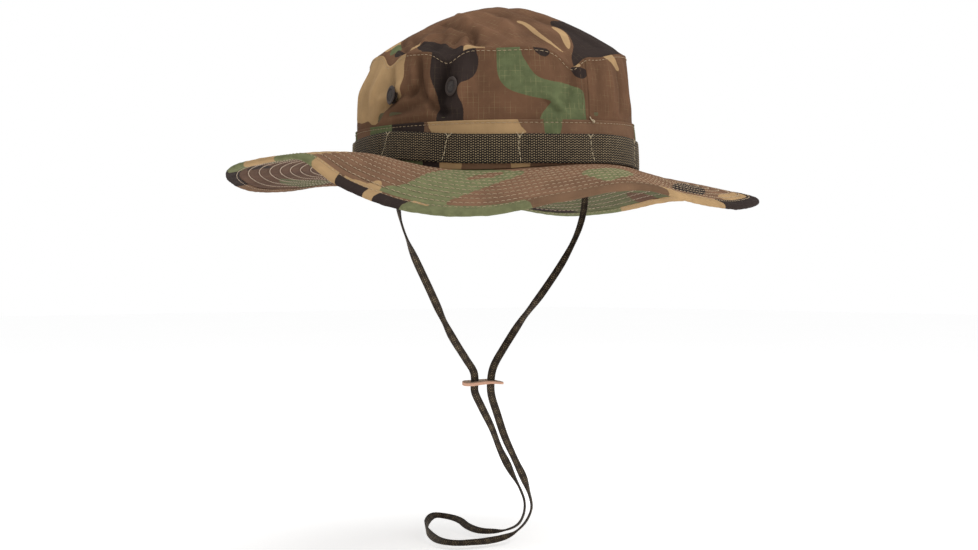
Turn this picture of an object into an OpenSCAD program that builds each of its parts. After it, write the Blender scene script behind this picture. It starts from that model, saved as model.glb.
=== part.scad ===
// Boonie hat: soft domed crown, wavy quilted brim, webbing band, hanging chin strap.
// Origin: middle of the head opening at the seam of crown and brim.
// Front is -Y, the wearer's right is +X, up is +Z. Millimetres.

/* [Crown] */
// half width of the crown cloth at its foot, side to side
crown_half_x = 86.2; // [78:0.1:96]
// half length of the crown cloth at its foot, front to back
crown_half_y = 96.2; // [86:0.1:108]
// height of the tip seam above the crown seam
side_h = 70; // [60:1:85]
// rise of the soft tip above the tip seam
dome_h = 35; // [15:1:45]
// how much the side leans in at the tip seam
side_lean = 0.07; // [0:0.01:0.15]
// cloth thickness
cloth_t = 0.6; // [0.4:0.1:1]

/* [Brim] */
// width of the brim measured over its surface
brim_w = 81.5; // [50:0.5:95]
// thickness of the stiff interlining
lining_t = 0.8; // [0.6:0.1:2]
// thickness of each brim cloth
brim_cloth_t = 0.4; // [0.3:0.1:0.8]
// how strongly the brim waves and droops, 1 as worn in
wave = 1; // [0:0.05:1.2]
// width of the bound edge
binding_w = 8; // [5:0.5:12]

/* [Band] */
// height of the branch loop webbing
webbing_h = 17.5; // [12:0.5:25]
// thickness of the webbing
webbing_t = 1.3; // [0.8:0.1:2]
// height of the cloth band showing above the webbing
band_above = 7; // [3:0.5:12]
// height of the sweatband
sweat_h = 32; // [25:1:40]
// number of tack stitches round the webbing
tacks = 12; // [8:1:16]

/* [Vents] */
// outside diameter of a vent
vent_d = 11.6; // [8:0.2:14]
// open diameter of a vent
vent_open = 7; // [4:0.2:9]

/* [Strap] */
// width of the braid
braid_w = 6; // [4:0.2:10]
// thickness of the braid
braid_t = 1.6; // [1:0.1:3]
// length of the slider across the two strands
slider_l = 27; // [20:0.5:35]
// depth of the slider
slider_w = 13; // [9:0.5:18]
// thickness of the slider
slider_t = 2.6; // [1.5:0.1:5]

/* [Output] */
// which node to make

/* [Hidden] */

brown = [0.33, 0.23, 0.17];
green = [0.34, 0.37, 0.22];
olive = [0.22, 0.20, 0.13];
tan = [0.62, 0.48, 0.32];
black = [0.10, 0.10, 0.10];

step_a = 6;              // degrees between the columns of every cloth
seam_a = 264;            // bearing of the front seam of crown and brim
gap = 0.15;              // air left between cloths that lie on each other

// heights round the hat, one every 15 degrees starting at the wearer's right
SEAM = [-2, -2, -3, -3, -2, -1, 0, 0, 0, -1, -1, 0, 0, -4, -6, -6, -4.5, -3, -1.5, -1.5, -2.5, -2.5, -2, -1.5];
EDGE = [-15, -21, -23, -16, -8, -3, -2, -8, -9.5, -6, -2.5, -1, -1.5, -17, -31.5, -34.5, -26.5, -19.5, -26, -28, -24, -19.5, -15.5, -15];
BULGE = [5, 2, 1, 2, 3, 3, 3, 4, 3, 3, 3, 3, 3, 6, 4, 2, 2, 3, 3, 2, 1, 1, 2, 5];
// how far the brim humps up close to the crown
HUMP = [0, 0, 0, 0, 0, 0.5, 0.8, 1, 1, 1.2, 1.2, 1.2, 1, 1, 0.5, 0, 0, 0, 0, -1, -2, -2, -1, 0];
// change of the tip seam's height
TIP = [0, 0, 0, 0, 0, 0, 0, -1, -2, -2, -1, -1, -1.5, -1.5, -1, -1.5, -1, -3, -5, -1, 1, 1.5, 0.5, 0];
// bearings and depths of the three puckers of the tip seam
PUCKER = [[175.5, 7], [205.5, 7], [256.5, 9]];
// bearing and height of the four vents
VENTS = [[207.5, 45.5], [179, 43], [332.5, 45.5], [1, 43]];

// smooth periodic curve through the 24 values of a list
function at(v, a) = let(n = len(v), u = (((a % 360) + 360) % 360) / 360 * n, i = floor(u), f = u - i,
  p0 = v[(i + n - 1) % n], p1 = v[i % n], p2 = v[(i + 1) % n], p3 = v[(i + 2) % n])
  0.5 * (2 * p1 + (p2 - p0) * f + (2 * p0 - 5 * p1 + 4 * p2 - p3) * f * f + (3 * p1 - p0 - 3 * p2 + p3) * f * f * f);
function turn(a, b) = ((((a - b + 180) % 360) + 360) % 360) - 180;
function bump(a, c, s) = exp(-pow(turn(a, c) / s, 2) / 2);
function pucker(a) = -PUCKER[0][1] * bump(a, PUCKER[0][0], 4) - PUCKER[1][1] * bump(a, PUCKER[1][0], 4) - PUCKER[2][1] * bump(a, PUCKER[2][0], 4);

// point on the foot ellipse scaled by k and moved out by off along its normal
function foot(a, off, k) = let(nx = cos(a) / crown_half_x, ny = sin(a) / crown_half_y, l = norm([nx, ny]))
  [crown_half_x * k * cos(a) + off * nx / l, crown_half_y * k * sin(a) + off * ny / l];
function seam_z(a) = wave * at(SEAM, a);
function tip_z(a) = side_h + at(TIP, a) + pucker(a);
function lean(z) = 1 - side_lean * pow(max(z, 0) / side_h, 2.4);
// worn-in hollow of the right side and fullness of the left
function dent(a, z) = -4 * bump(a, 318, 22) * exp(-pow((z - 45) / 20, 2)) + 1.5 * bump(a, 140, 20) * exp(-pow((z - 50) / 20, 2));
// crown side at height z
function crown(a, z, off) = let(p = foot(a, off + dent(a, z), lean(z))) [p[0], p[1], z];
// dome over the tip seam, q = 1 at the seam, 0 at the top
function dome(a, q, dz, inset) = let(k = lean(side_h + (tip_z(a) - side_h) * pow(q, 4)) * q, p = foot(a, (dent(a, tip_z(a)) - inset) * q, k))
  [p[0] - 2.2 * (1 - q), p[1] + 2 * (1 - q), side_h + at(TIP, a) * q + pucker(a) * pow(q, 8) + dome_h * pow(1 - q * q, 1.2) + dz];
// brim at distance s from the seam, lifted by dz
function brim(a, s, dz) = let(t = s / brim_w, h = max(s, 0) / 22, z0 = seam_z(a), z1 = wave * (at(EDGE, a) + 6 * bump(a, 187, 4.5)),
  p = foot(a, s * (1 - 0.5 * pow((z1 - z0) / brim_w, 2)) * (1 - 0.03 * cos(a - 318)), 1))
  [p[0], p[1], z0 + (z1 - z0) * t + wave * (4 * at(BULGE, a) * t * (1 - t) + at(HUMP, a) * (h * exp(1 - h) - 0.25 * t)) + dz];
// foot of the webbing
function web_z(a) = seam_z(a) + 1.2 + 3.6 * bump(a, 215, 24);
// upper edge of the cloth band
function band_z(a) = webbing_h + band_above + 3 * bump(a, 310, 35);

// triangles of a four-sided face
function quad(a, b, c, d) = [[a, b, c], [a, c, d]];
// solid between two grids of points; wrap joins the last column to the first,
// tops = true closes the last row at two given points
module cloth(P, Q, wrap = true, tops = []) {
  R = len(P); C = len(P[0]); n = R * C; cc = wrap ? C - 1 : C - 2; e = C - 1; cap = len(tops) == 2;
  pts = concat([for (r = P) for (p = r) p], [for (r = Q) for (p = r) p], tops);
  faces = concat(
    [for (r = [0:R - 2]) for (c = [0:cc]) let(d = (c + 1) % C) for (f = quad(r * C + c, r * C + d, (r + 1) * C + d, (r + 1) * C + c)) f],
    [for (r = [0:R - 2]) for (c = [0:cc]) let(d = (c + 1) % C) for (f = quad(n + (r + 1) * C + c, n + (r + 1) * C + d, n + r * C + d, n + r * C + c)) f],
    [for (c = [0:cc]) let(d = (c + 1) % C) for (f = quad(d, c, n + c, n + d)) f],
    cap ? [for (c = [0:cc]) let(d = (c + 1) % C) [(R - 1) * C + c, (R - 1) * C + d, 2 * n]] :
      [for (c = [0:cc]) let(d = (c + 1) % C, k = (R - 1) * C) for (f = quad(k + c, k + d, n + k + d, n + k + c)) f],
    cap ? [for (c = [0:cc]) let(d = (c + 1) % C) [n + (R - 1) * C + d, n + (R - 1) * C + c, 2 * n + 1]] : [],
    wrap ? [] : [for (r = [0:R - 2]) for (f = quad(r * C, (r + 1) * C, n + (r + 1) * C, n + r * C)) f],
    wrap ? [] : [for (r = [0:R - 2]) for (f = quad((r + 1) * C + e, r * C + e, n + r * C + e, n + (r + 1) * C + e)) f]);
  polyhedron(points = pts, faces = faces, convexity = 8);
}
// closed ring whose section is a closed loop of points
module hoop(P) {
  R = len(P); C = len(P[0]);
  polyhedron(points = [for (r = P) for (p = r) p],
    faces = [for (r = [0:R - 1]) for (c = [0:C - 1]) let(s = (r + 1) % R, d = (c + 1) % C)
      for (f = quad(r * C + c, r * C + d, s * C + d, s * C + c)) f], convexity = 8);
}
ring_a = [for (a = [0:step_a:359]) a];
half_l = concat([seam_a - 179.9], [for (a = [seam_a - 174:step_a:seam_a - 6]) a], [seam_a - 0.1]);
half_r = [for (a = half_l) a + 180];

// ---- crown ----
module crown_top_panel() color(brown) {
  rows = [1, 0.97, 0.92, 0.84, 0.72, 0.56, 0.38, 0.2];
  top = side_h + dome_h;
  cloth([for (q = rows) [for (a = ring_a) dome(a, q, 0.2 - cloth_t * (1 - q), cloth_t)]],
    [for (q = rows) [for (a = ring_a) dome(a, q, 0.2, 0)]], true, [[-2.2, 2, top + 0.2 - cloth_t], [-2.2, 2, top + 0.2]]);
}
module side_cloth(cols) cloth(
  [for (t = [0:0.125:1]) [for (a = cols) let(z0 = seam_z(a) + 1.5) crown(a, z0 + (tip_z(a) - 0.1 - z0) * t, -cloth_t)]],
  [for (t = [0:0.125:1]) [for (a = cols) let(z0 = seam_z(a) + 1.5) crown(a, z0 + (tip_z(a) - 0.1 - z0) * t, 0)]], false);
// places children on the crown at each vent, local Z pointing out
module at_vents() for (v = VENTS) {
  p = crown(v[0], v[1], 0); nx = cos(v[0]) / crown_half_x; ny = sin(v[0]) / crown_half_y;
  translate(p) rotate([0, 0, atan2(ny, nx)]) rotate([0, 90 - 5, 0]) children();
}
module vent_holes() at_vents() translate([0, 0, -6]) cylinder(d = vent_open + 2, h = 12, $fn = 16);
module crown_side_left() color(tan) difference() { side_cloth(half_l); vent_holes(); }
module crown_side_right() color(brown) difference() { side_cloth(half_r); vent_holes(); }
tape_off = [cloth_t + gap, cloth_t + gap + 0.5];
function tape_row(r, i) = [for (a = ring_a) let(o = tape_off[i])
  r == 0 ? crown(a, tip_z(a) - 7, -o) : r == 1 ? crown(a, tip_z(a) - 3.5, -o) : r == 2 ? dome(a, 1, -0.3, o + 0.1) :
  r == 3 ? dome(a, 0.97, -0.5 - 0.4 * i, o + 0.2) : dome(a, 0.94, -0.9 - 0.4 * i, o + 0.2)];
module top_seam_tape() color(olive) cloth([for (r = [0:4]) tape_row(r, 1)], [for (r = [0:4]) tape_row(r, 0)]);
module seam_tape(c) {
  w = 3.2; z0 = sweat_h + 8;
  cloth([for (t = [0:0.25:1]) [for (a = [c - w, c, c + w]) crown(a, z0 + (tip_z(a) - 8.5 - z0) * t, -cloth_t - gap - 0.6)]],
    [for (t = [0:0.25:1]) [for (a = [c - w, c, c + w]) crown(a, z0 + (tip_z(a) - 8.5 - z0) * t, -cloth_t - gap - 0.2)]], false);
}
module side_seam_tape_front() color(olive) seam_tape(seam_a);
module side_seam_tape_back() color(olive) seam_tape(seam_a - 180);

// ---- band, webbing, sweatband ----
function band_row(t, off) = [for (a = ring_a) let(z0 = clear_z(a, 0, 1.2), z1 = band_z(a)) crown(a, z0 + (z1 - z0) * t, off)];
// lowest level that clears the brim between two distances from the seam
function clear_z(a, s0, s1) = max(brim(a, s0, up1)[2], brim(a, s1, up1)[2]) + 0.2;
module outer_band() color(green)
  cloth([for (t = [0, 0.33, 0.67, 1]) band_row(t, gap)], [for (t = [0, 0.33, 0.67, 1]) band_row(t, gap + 0.8)]);
web_off = 2 * gap + 0.8;
function web_z0(a) = max(web_z(a), clear_z(a, 0.8, 2.8));
function web_row(t, off) = [for (a = ring_a) let(z0 = web_z0(a)) crown(a, z0 + (web_z(a) + webbing_h - z0) * t, off)];
module branch_loop_webbing() color(olive)
  cloth([for (t = [0, 0.5, 1]) web_row(t, web_off)], [for (t = [0, 0.5, 1]) web_row(t, web_off + webbing_t)]);
module webbing_tacks() color(tan) for (i = [0:tacks - 1]) {
  c = 25.5 + i * 360 / tacks; o = web_off + webbing_t + gap;
  cloth([for (t = [0, 0.5, 1]) [for (a = [c - 0.3, c + 0.3]) crown(a, web_z0(a) + 1.2 + (web_z(a) + webbing_h - web_z0(a) - 2.2) * t, o + 0.1)]],
    [for (t = [0, 0.5, 1]) [for (a = [c - 0.3, c + 0.3]) crown(a, web_z0(a) + 1.2 + (web_z(a) + webbing_h - web_z0(a) - 2.2) * t, o + 0.6)]], false);
}
sweat_off = -cloth_t - gap;
function sweat_row(t, off) = [for (a = ring_a) crown(a, seam_z(a) + 0.5 + sweat_h * t, off)];
module sweatband() color(olive)
  cloth([for (t = [0, 0.33, 0.67, 1]) sweat_row(t, sweat_off - 1)], [for (t = [0, 0.33, 0.67, 1]) sweat_row(t, sweat_off)]);
module size_label() color(tan) {
  o = sweat_off - 1 - gap; z = 8;
  cloth([for (t = [0, 0.5, 1]) [for (a = [84, 90, 96, 102]) crown(a, z + 16 * t, o - 0.3)]],
    [for (t = [0, 0.5, 1]) [for (a = [84, 90, 96, 102]) crown(a, z + 16 * t, o)]], false);
}

// ---- brim ----
brim_rows = [0, 0.12, 0.26, 0.42, 0.58, 0.74, 0.88, 1];
in_s = -0.6;
module brim_layer(cols, z0, z1, wrap) {
  w = brim_w - 1.2;
  cloth([for (t = brim_rows) [for (a = cols) brim(a, in_s + (w - in_s) * t, z1)]],
    [for (t = brim_rows) [for (a = cols) brim(a, in_s + (w - in_s) * t, z0)]], wrap);
}
up0 = lining_t / 2 + gap + 0.15;
up1 = up0 + brim_cloth_t;
module brim_interlining() color(tan) brim_layer(ring_a, -lining_t / 2, lining_t / 2, true);
module brim_upper_left() color(brown) brim_layer(half_l, up0, up1, false);
module brim_upper_right() color(green) brim_layer(half_r, up0, up1, false);
module brim_lower_left() color(green) brim_layer(half_l, -up1, -up0, false);
module brim_lower_right() color(brown) brim_layer(half_r, -up1, -up0, false);
module brim_binding() color(tan) {
  i = up1 + gap; o = i + 0.5; e = brim_w - 0.9;
  // section: along the top outwards, round the edge, back below, then the inner faces
  S = [[brim_w - binding_w, i], [brim_w - binding_w, o], [e - 1, o], [e + 0.9, 0], [e - 1, -o],
    [brim_w - binding_w, -o], [brim_w - binding_w, -i], [e, -i], [e, i]];
  hoop([for (p = S) [for (a = ring_a) brim(a, p[0], p[1])]]);
}

// ---- vents ----
module vent_eyelets() color(black) at_vents() translate([0, 0, 0.65]) difference() {
  union() { cylinder(d = vent_d, h = 0.7, $fn = 32); translate([0, 0, -2.6]) cylinder(d = vent_open + 1.2, h = 2.7, $fn = 32); }
  translate([0, 0, -3]) cylinder(d = vent_open, h = 5, $fn = 32);
}
module vent_washers() color(black) at_vents() translate([0, 0, -1.9]) difference() {
  cylinder(d = vent_d - 1, h = 0.5, $fn = 32);
  translate([0, 0, -1]) cylinder(d = vent_open + 1.6, h = 3, $fn = 32);
}
module vent_screens() color(black) at_vents() translate([0, 0, 0.1]) difference() {
  cylinder(d = vent_open - 0.2, h = 0.4, $fn = 32);
  for (i = [0:5]) rotate(i * 60) translate([2, 0, -1]) cylinder(d = 1.1, h = 3, $fn = 16);
}

// ---- chin strap ----
anchor_x = crown_half_x - cloth_t - gap - 1 - gap;
module anchor() translate([anchor_x - 2.1, 0, 6]) rotate([90, 0, 90]) linear_extrude(0.9)
  offset(2, $fn = 16) square([11, 16], center = true);
module strap_anchor_left() color(olive) mirror([1, 0, 0]) anchor();
module strap_anchor_right() color(olive) anchor();

// route of the braid from the left anchor to the right one: x, y, z, way it faces
// (0 across the view of the strap, 1 fore and aft, 2 on its edge)
ROUTE = [[-79.5, 0, -1, -2], [-80.5, 1, -14, -2], [-77.5, 3, -32, -1], [-67, 4, -53, 0], [-51, 6, -77, 0], [-33, 8, -104, 0],
  [-18, 9, -122, 0], [-11.5, 9, -130, 0], [-10, 9, -136, 0], [-10, 9, -144, 0], [-5, 8, -154, 0], [3, 7, -168, 0],
  [10, 7, -182, 0.2], [19, 7, -196, 0.6], [28, 8, -208, 1], [36, 11, -219, 1], [41, 17, -229, 1], [42, 24, -237, 1],
  [38, 31, -241, 1.2], [32, 37, -242, 1.6], [27, 46, -242, 1.8], [29, 60, -241, 2], [35, 76, -239, 2], [36, 89, -238, 2],
  [28, 95, -237, 2], [14, 86, -239, 2], [-2, 67, -241, 2], [-15, 45, -242, 2], [-22, 28, -242, 2],
  [-20, 16, -242, 2], [-10, 11, -242, 2], [1, 9, -242, 2], [14, 8, -241, 1.6], [26, 8, -238, 1.2],
  [34, 7, -232, 1], [36, 4, -223, 1], [32, 2, -213, 1], [26, 1, -202, 0.6], [18, 1, -189, 0.2], [10, 2, -174, 0],
  [3, 2, -158, 0], [-1.8, 2, -146, 0], [-2.2, 2, -136, 0], [0.5, 2, -127, 0], [8, 1, -116, 0], [24, 1, -98, 0],
  [42, -1, -79, 0], [60, -3, -57, 0], [74, -3, -36, -1], [80.5, -2, -16, -2], [79.5, 0, -1, -2]];
view_a = -42;            // the flat of the hanging strands faces this bearing
last_k = len(ROUTE) - 1;
function ctl(i) = ROUTE[min(max(i, 0), last_k)];
function way(u) = let(i = min(floor(u), last_k - 1), f = u - i, p0 = ctl(i - 1), p1 = ctl(i), p2 = ctl(i + 1), p3 = ctl(i + 2))
  0.5 * (2 * p1 + (p2 - p0) * f + (2 * p0 - 5 * p1 + 4 * p2 - p3) * f * f + (3 * p1 - p0 - 3 * p2 + p3) * f * f * f);
across = [cos(view_a), sin(view_a), 0];
along = [-sin(view_a), cos(view_a), 0];
function facing(k) = k <= 1 ? across * (1 - k) + along * k : along * (2 - k) + [0, 0, k - 1];
function unit(v) = v / norm(v);
rings = 86;
sides = 10;
function xyz(v) = [v[0], v[1], v[2]];
module chin_strap_cord() color(olive) {
  U = [for (i = [0:rings - 1]) last_k * i / (rings - 1)];
  C = [for (u = U) way(u)];
  pts = [for (i = [0:rings - 1]) let(
      t = unit(xyz(C[min(i + 1, rings - 1)]) - xyz(C[max(i - 1, 0)])),
      g = facing(min(max(C[i][3], -2), 2)), w = unit(g - t * (g * t)), v = cross(t, w))
    for (j = [0:sides - 1]) xyz(C[i]) + w * (braid_w / 2 * cos(j * 360 / sides)) + v * (braid_t / 2 * sin(j * 360 / sides))];
  n = rings * sides;
  polyhedron(points = concat(pts, [xyz(C[0]), xyz(C[rings - 1])]), faces = concat(
    [for (i = [0:rings - 2]) for (j = [0:sides - 1]) let(k = (j + 1) % sides)
      for (f = quad(i * sides + j, (i + 1) * sides + j, (i + 1) * sides + k, i * sides + k)) f],
    [for (j = [0:sides - 1]) let(k = (j + 1) % sides) [n, j, k]],
    [for (j = [0:sides - 1]) let(k = (j + 1) % sides, m = (rings - 1) * sides) [n + 1, m + k, m + j]]), convexity = 10);
}
module cord_slider() color(tan) translate([-6.1, 5.5, -138 - slider_t / 2]) rotate([0, 0, view_a]) linear_extrude(slider_t) difference() {
  offset(3, $fn = 24) square([slider_l - 6, slider_w - 6], center = true);
  for (s = [-1, 1]) translate([s * 5.2, 0]) offset(1.3, $fn = 24) square([braid_w + 1.8 - 2.6, 0.2], center = true);
}

crown_top_panel();
crown_side_left();
crown_side_right();
top_seam_tape();
side_seam_tape_front();
side_seam_tape_back();
outer_band();
branch_loop_webbing();
webbing_tacks();
brim_upper_left();
brim_upper_right();
brim_interlining();
brim_lower_left();
brim_lower_right();
brim_binding();
sweatband();
vent_eyelets();
vent_washers();
vent_screens();
strap_anchor_left();
strap_anchor_right();
chin_strap_cord();
cord_slider();
size_label();
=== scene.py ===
import math
import numpy as np
import bpy
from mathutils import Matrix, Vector


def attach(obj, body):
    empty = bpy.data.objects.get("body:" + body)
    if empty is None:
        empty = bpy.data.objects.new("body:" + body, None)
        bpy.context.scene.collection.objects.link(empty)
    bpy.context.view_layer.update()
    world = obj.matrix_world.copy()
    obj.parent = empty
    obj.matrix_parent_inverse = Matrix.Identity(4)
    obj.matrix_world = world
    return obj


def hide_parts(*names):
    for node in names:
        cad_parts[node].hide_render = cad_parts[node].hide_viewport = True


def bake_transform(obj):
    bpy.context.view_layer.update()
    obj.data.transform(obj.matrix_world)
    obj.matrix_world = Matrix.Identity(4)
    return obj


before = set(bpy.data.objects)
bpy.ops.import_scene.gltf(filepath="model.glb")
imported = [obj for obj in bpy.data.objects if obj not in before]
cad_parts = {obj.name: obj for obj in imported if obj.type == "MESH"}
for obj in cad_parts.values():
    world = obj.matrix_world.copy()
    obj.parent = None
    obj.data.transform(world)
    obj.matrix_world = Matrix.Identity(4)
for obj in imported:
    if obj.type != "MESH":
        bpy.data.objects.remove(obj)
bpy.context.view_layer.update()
MM = 0.001
COL = bpy.context.scene.collection

# ------------------------------------------------------------------ camera
RIGHT = np.array([0.74314, -0.66913, 0.0])
BACK = np.array([-0.66913, -0.74314, 0.0])
cam_data = bpy.data.cameras.new("camera")
cam_data.sensor_width = 36.0
cam_data.lens = 62.26
cam = bpy.data.objects.new("camera", cam_data)
COL.objects.link(cam)
cam.location = Vector((BACK * 1100 - RIGHT * 4.23 + np.array([0, 0, -68])) * MM)
cam.rotation_euler = (math.radians(90), 0, math.radians(-42))
cam_data.clip_end = 20
bpy.context.scene.camera = cam

# ------------------------------------------------------------------ surfaces, mm
HX, HY = 86.2, 96.2
SIDE, DOME, LEAN, BRIM = 70.0, 35.0, 0.07, 81.5
CLOTH, GAP = 0.6, 0.15
WEB_H, WEB_T, BAND_T = 17.5, 1.3, 0.8
UP1 = 1.05
SEAM = [-2, -2, -3, -3, -2, -1, 0, 0, 0, -1, -1, 0, 0, -4, -6, -6, -4.5, -3, -1.5, -1.5, -2.5, -2.5, -2, -1.5]
EDGE = [-15, -21, -23, -16, -8, -3, -2, -8, -9.5, -6, -2.5, -1, -1.5, -17, -31.5, -34.5, -26.5, -19.5, -26, -28, -24, -19.5, -15.5, -15]
HUMP = [0, 0, 0, 0, 0, 0.5, 0.8, 1, 1, 1.2, 1.2, 1.2, 1, 1, 0.5, 0, 0, 0, 0, -1, -2, -2, -1, 0]
BULGE = [5, 2, 1, 2, 3, 3, 3, 4, 3, 3, 3, 3, 3, 6, 4, 2, 2, 3, 3, 2, 1, 1, 2, 5]
TIP = [0, 0, 0, 0, 0, 0, 0, -1, -1.5, -0.5, 1, 0.8, -0.8, -1.5, -1, -1.5, -1, -3, -5, -1, 1, 1.5, 0.5, 0]
PUCK = [(173.8, 7.5), (205.0, 7), (256.5, 9)]


def cr(vals, a):
    v = np.asarray(vals, float)
    n = len(v)
    u = (np.asarray(a, float) % 360) / 360 * n
    i = np.floor(u).astype(int)
    f = u - i
    p0, p1, p2, p3 = v[(i - 1) % n], v[i % n], v[(i + 1) % n], v[(i + 2) % n]
    return 0.5 * (2 * p1 + (p2 - p0) * f + (2 * p0 - 5 * p1 + 4 * p2 - p3) * f ** 2 + (3 * p1 - p0 - 3 * p2 + p3) * f ** 3)


def turn(a, c):
    return (np.asarray(a, float) - c + 180) % 360 - 180


def bump(a, c, s):
    return np.exp(-(turn(a, c) / s) ** 2 / 2)


def smooth(x, a, b):
    t = np.clip((np.asarray(x, float) - a) / (b - a), 0, 1)
    return t * t * (3 - 2 * t)


def foot(a, off=0.0, k=1.0):
    p = np.radians(a)
    c, s = np.cos(p), np.sin(p)
    nx, ny = c / HX, s / HY
    L = np.hypot(nx, ny)
    return HX * k * c + off * nx / L, HY * k * s + off * ny / L


def pucker(a, w=4.0):
    return -sum(d * bump(a, c, w) for c, d in PUCK)


def seam_z(a):
    return cr(SEAM, a)


def tip_z(a):
    return SIDE + cr(TIP, a) + pucker(a)


def lean(z):
    return 1 - LEAN * (np.maximum(z, 0) / SIDE) ** 2.4


def dent(a, z):
    return (-2.6 * bump(a, 318, 22) * np.exp(-((z - 45) / 20) ** 2) + 1.0 * bump(a, 140, 20) * np.exp(-((z - 50) / 20) ** 2)
            - 3.4 * bump(a, 146, 24) * smooth(z, 46, 66) - 1.3 * bump(a, 317, 20) * (1 - smooth(z, 28, 40)))


def brim_z(a, s):
    t = s / BRIM
    z0, z1 = seam_z(a), cr(EDGE, a) + 6 * bump(a, 187, 4.5)
    h = np.maximum(s, 0) / 22
    return z0 + (z1 - z0) * t + cr(BULGE, a) * 4 * t * (1 - t) + cr(HUMP, a) * (h * np.exp(1 - h) - 0.25 * t)


def brim(a, s, dz=0.0):
    z0, z1 = seam_z(a), cr(EDGE, a) + 6 * bump(a, 187, 4.5)
    x, y = foot(a, s * (1 - 0.5 * ((z1 - z0) / BRIM) ** 2) * (1 - 0.03 * np.cos(np.radians(np.asarray(a) - 318))))
    return np.stack(np.broadcast_arrays(x, y, brim_z(a, s) + dz), -1)


def clear_z(a, s0, s1):
    return np.maximum(brim_z(a, s0), brim_z(a, s1)) + UP1 + 0.2


def web_z(a):
    return np.maximum(seam_z(a) + 1.2 + 3.6 * bump(a, 215, 24) + 1.3 * bump(a, 194, 10), clear_z(a, 0.8, 2.8))


def web_top(a):
    return seam_z(a) + 1.2 + 3.6 * bump(a, 215, 24) + 1.3 * bump(a, 194, 10) + WEB_H


def band_z(a):
    return 24.5 + 3 * bump(a, 310, 35)


# value noise on a fixed, seeded lattice
LAT = np.random.default_rng(41).random((32, 32, 32)) * 2 - 1


def noise(P, scale, seed=0):
    q = np.asarray(P, float) / scale + seed * np.array([7.31, 3.77, 11.13]) + 100
    i = np.floor(q).astype(int)
    f = q - i
    f = f * f * f * (f * (f * 6 - 15) + 10)
    i0, i1 = i % 32, (i + 1) % 32
    r = 0
    for dx in (0, 1):
        for dy in (0, 1):
            for dz in (0, 1):
                w = (f[..., 0] if dx else 1 - f[..., 0]) * (f[..., 1] if dy else 1 - f[..., 1]) * (f[..., 2] if dz else 1 - f[..., 2])
                r = r + w * LAT[(i1 if dx else i0)[..., 0], (i1 if dy else i0)[..., 1], (i1 if dz else i0)[..., 2]]
    return r


def line_dist(U, V, pts):
    d = np.full(np.shape(U), 1e9)
    t_at = np.zeros(np.shape(U))
    n = len(pts) - 1
    for i in range(n):
        (ax, ay), (bx, by) = pts[i], pts[i + 1]
        ex, ey = bx - ax, by - ay
        t = np.clip(((U - ax) * ex + (V - ay) * ey) / (ex * ex + ey * ey + 1e-9), 0, 1)
        q = np.hypot(U - ax - ex * t, V - ay - ey * t)
        m = q < d
        d = np.where(m, q, d)
        t_at = np.where(m, (i + t) / n, t_at)
    return d, t_at


K = 1.57
# creases of the crown side: bearing and height along each, width, depth (plus is a ridge)
CREASES = [
    ([(190, 67), (191.5, 56), (191, 45), (190, 38)], 6.0, -1.5),
    ([(205.5, 63), (204.0, 54), (202.8, 44), (202.2, 35), (204, 28)], 2.8, -2.7),
    ([(211.5, 58), (211.8, 50), (210.6, 40), (208.5, 33)], 3.4, 1.7),
    ([(199.4, 65), (198.4, 54), (198.6, 44), (197, 34)], 2.0, 1.3),
    ([(191.5, 64), (192.5, 53), (194.5, 43), (199.5, 33), (206, 30)], 2.0, -2.1),
    ([(188.5, 66), (189.5, 56), (190.5, 50)], 2.2, 1.1),
    ([(187.5, 62), (189.5, 52), (191, 46)], 2.4, 1.0),
    ([(192, 47.5), (191.3, 45), (188, 41)], 1.6, -1.6),
    ([(190.5, 44), (184, 42.5), (178, 38.5), (173, 35), (168.5, 25)], 2.4, -2.0),
    ([(184, 49), (177, 43.5), (171, 41)], 3.0, 1.2),
    ([(194, 36), (186, 33), (178, 31)], 3.0, -1.3),
    ([(200, 29.5), (190, 28), (180, 27.5)], 2.6, 1.0),
    ([(175.5, 62), (177, 54), (179, 46)], 2.6, -1.6),
    ([(171, 66), (168, 55), (165, 42)], 4.0, 1.3),
    ([(160, 62), (158, 48), (160, 34)], 5.0, -1.1),
    ([(150, 66), (147, 50), (148, 33)], 4.0, 1.0),
    ([(212.5, 62), (215, 52), (216, 42)], 3.0, 0.8),
    ([(256.5, 60), (257.5, 52), (256, 42), (253, 34)], 3.2, -1.3),
    ([(250.5, 63), (251.5, 52), (249, 42)], 3.2, 0.8),
    ([(243, 38), (246, 33.5), (249.5, 29)], 1.8, -1.2),
    ([(247, 39), (250, 34), (253, 30)], 2.2, 0.7),
    ([(268.5, 66), (271, 55), (270, 40), (268, 30)], 3.0, -0.7),
    ([(277, 63), (279, 50), (278, 34)], 3.0, 1.0),
    ([(285.5, 62), (287, 48), (285, 33)], 2.6, -1.1),
    ([(293, 64), (295, 50), (293, 34)], 3.0, 1.0),
    ([(302, 62), (303, 48), (300, 33)], 3.5, -1.0),
    ([(228, 30), (236, 28), (244, 28.5)], 3.5, 0.5),
    ([(330, 62), (333, 48), (330, 34)], 4.0, -1.2), ([(345, 64), (343, 50), (347, 33)], 4.0, 1.1),
    ([(3, 60), (0, 50), (4, 36)], 3.5, -1.3), ([(18, 64), (20, 50), (16, 32)], 4.0, 1.0),
    ([(36, 62), (33, 45), (38, 31)], 3.5, -1.2), ([(55, 64), (58, 50), (54, 33)], 4.5, 1.2),
    ([(72, 60), (70, 45), (75, 32)], 3.0, -1.1), ([(98, 63), (96, 48), (101, 34)], 4.0, -1.2),
    ([(112, 62), (115, 46), (110, 32)], 4.0, 1.2), ([(128, 64), (126, 50), (130, 34)], 3.5, -1.0),
]


VENT_TURN = {207.5: -30.0, 179: -15.0, 332.5: 4.0, 1: -4.0}


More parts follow.
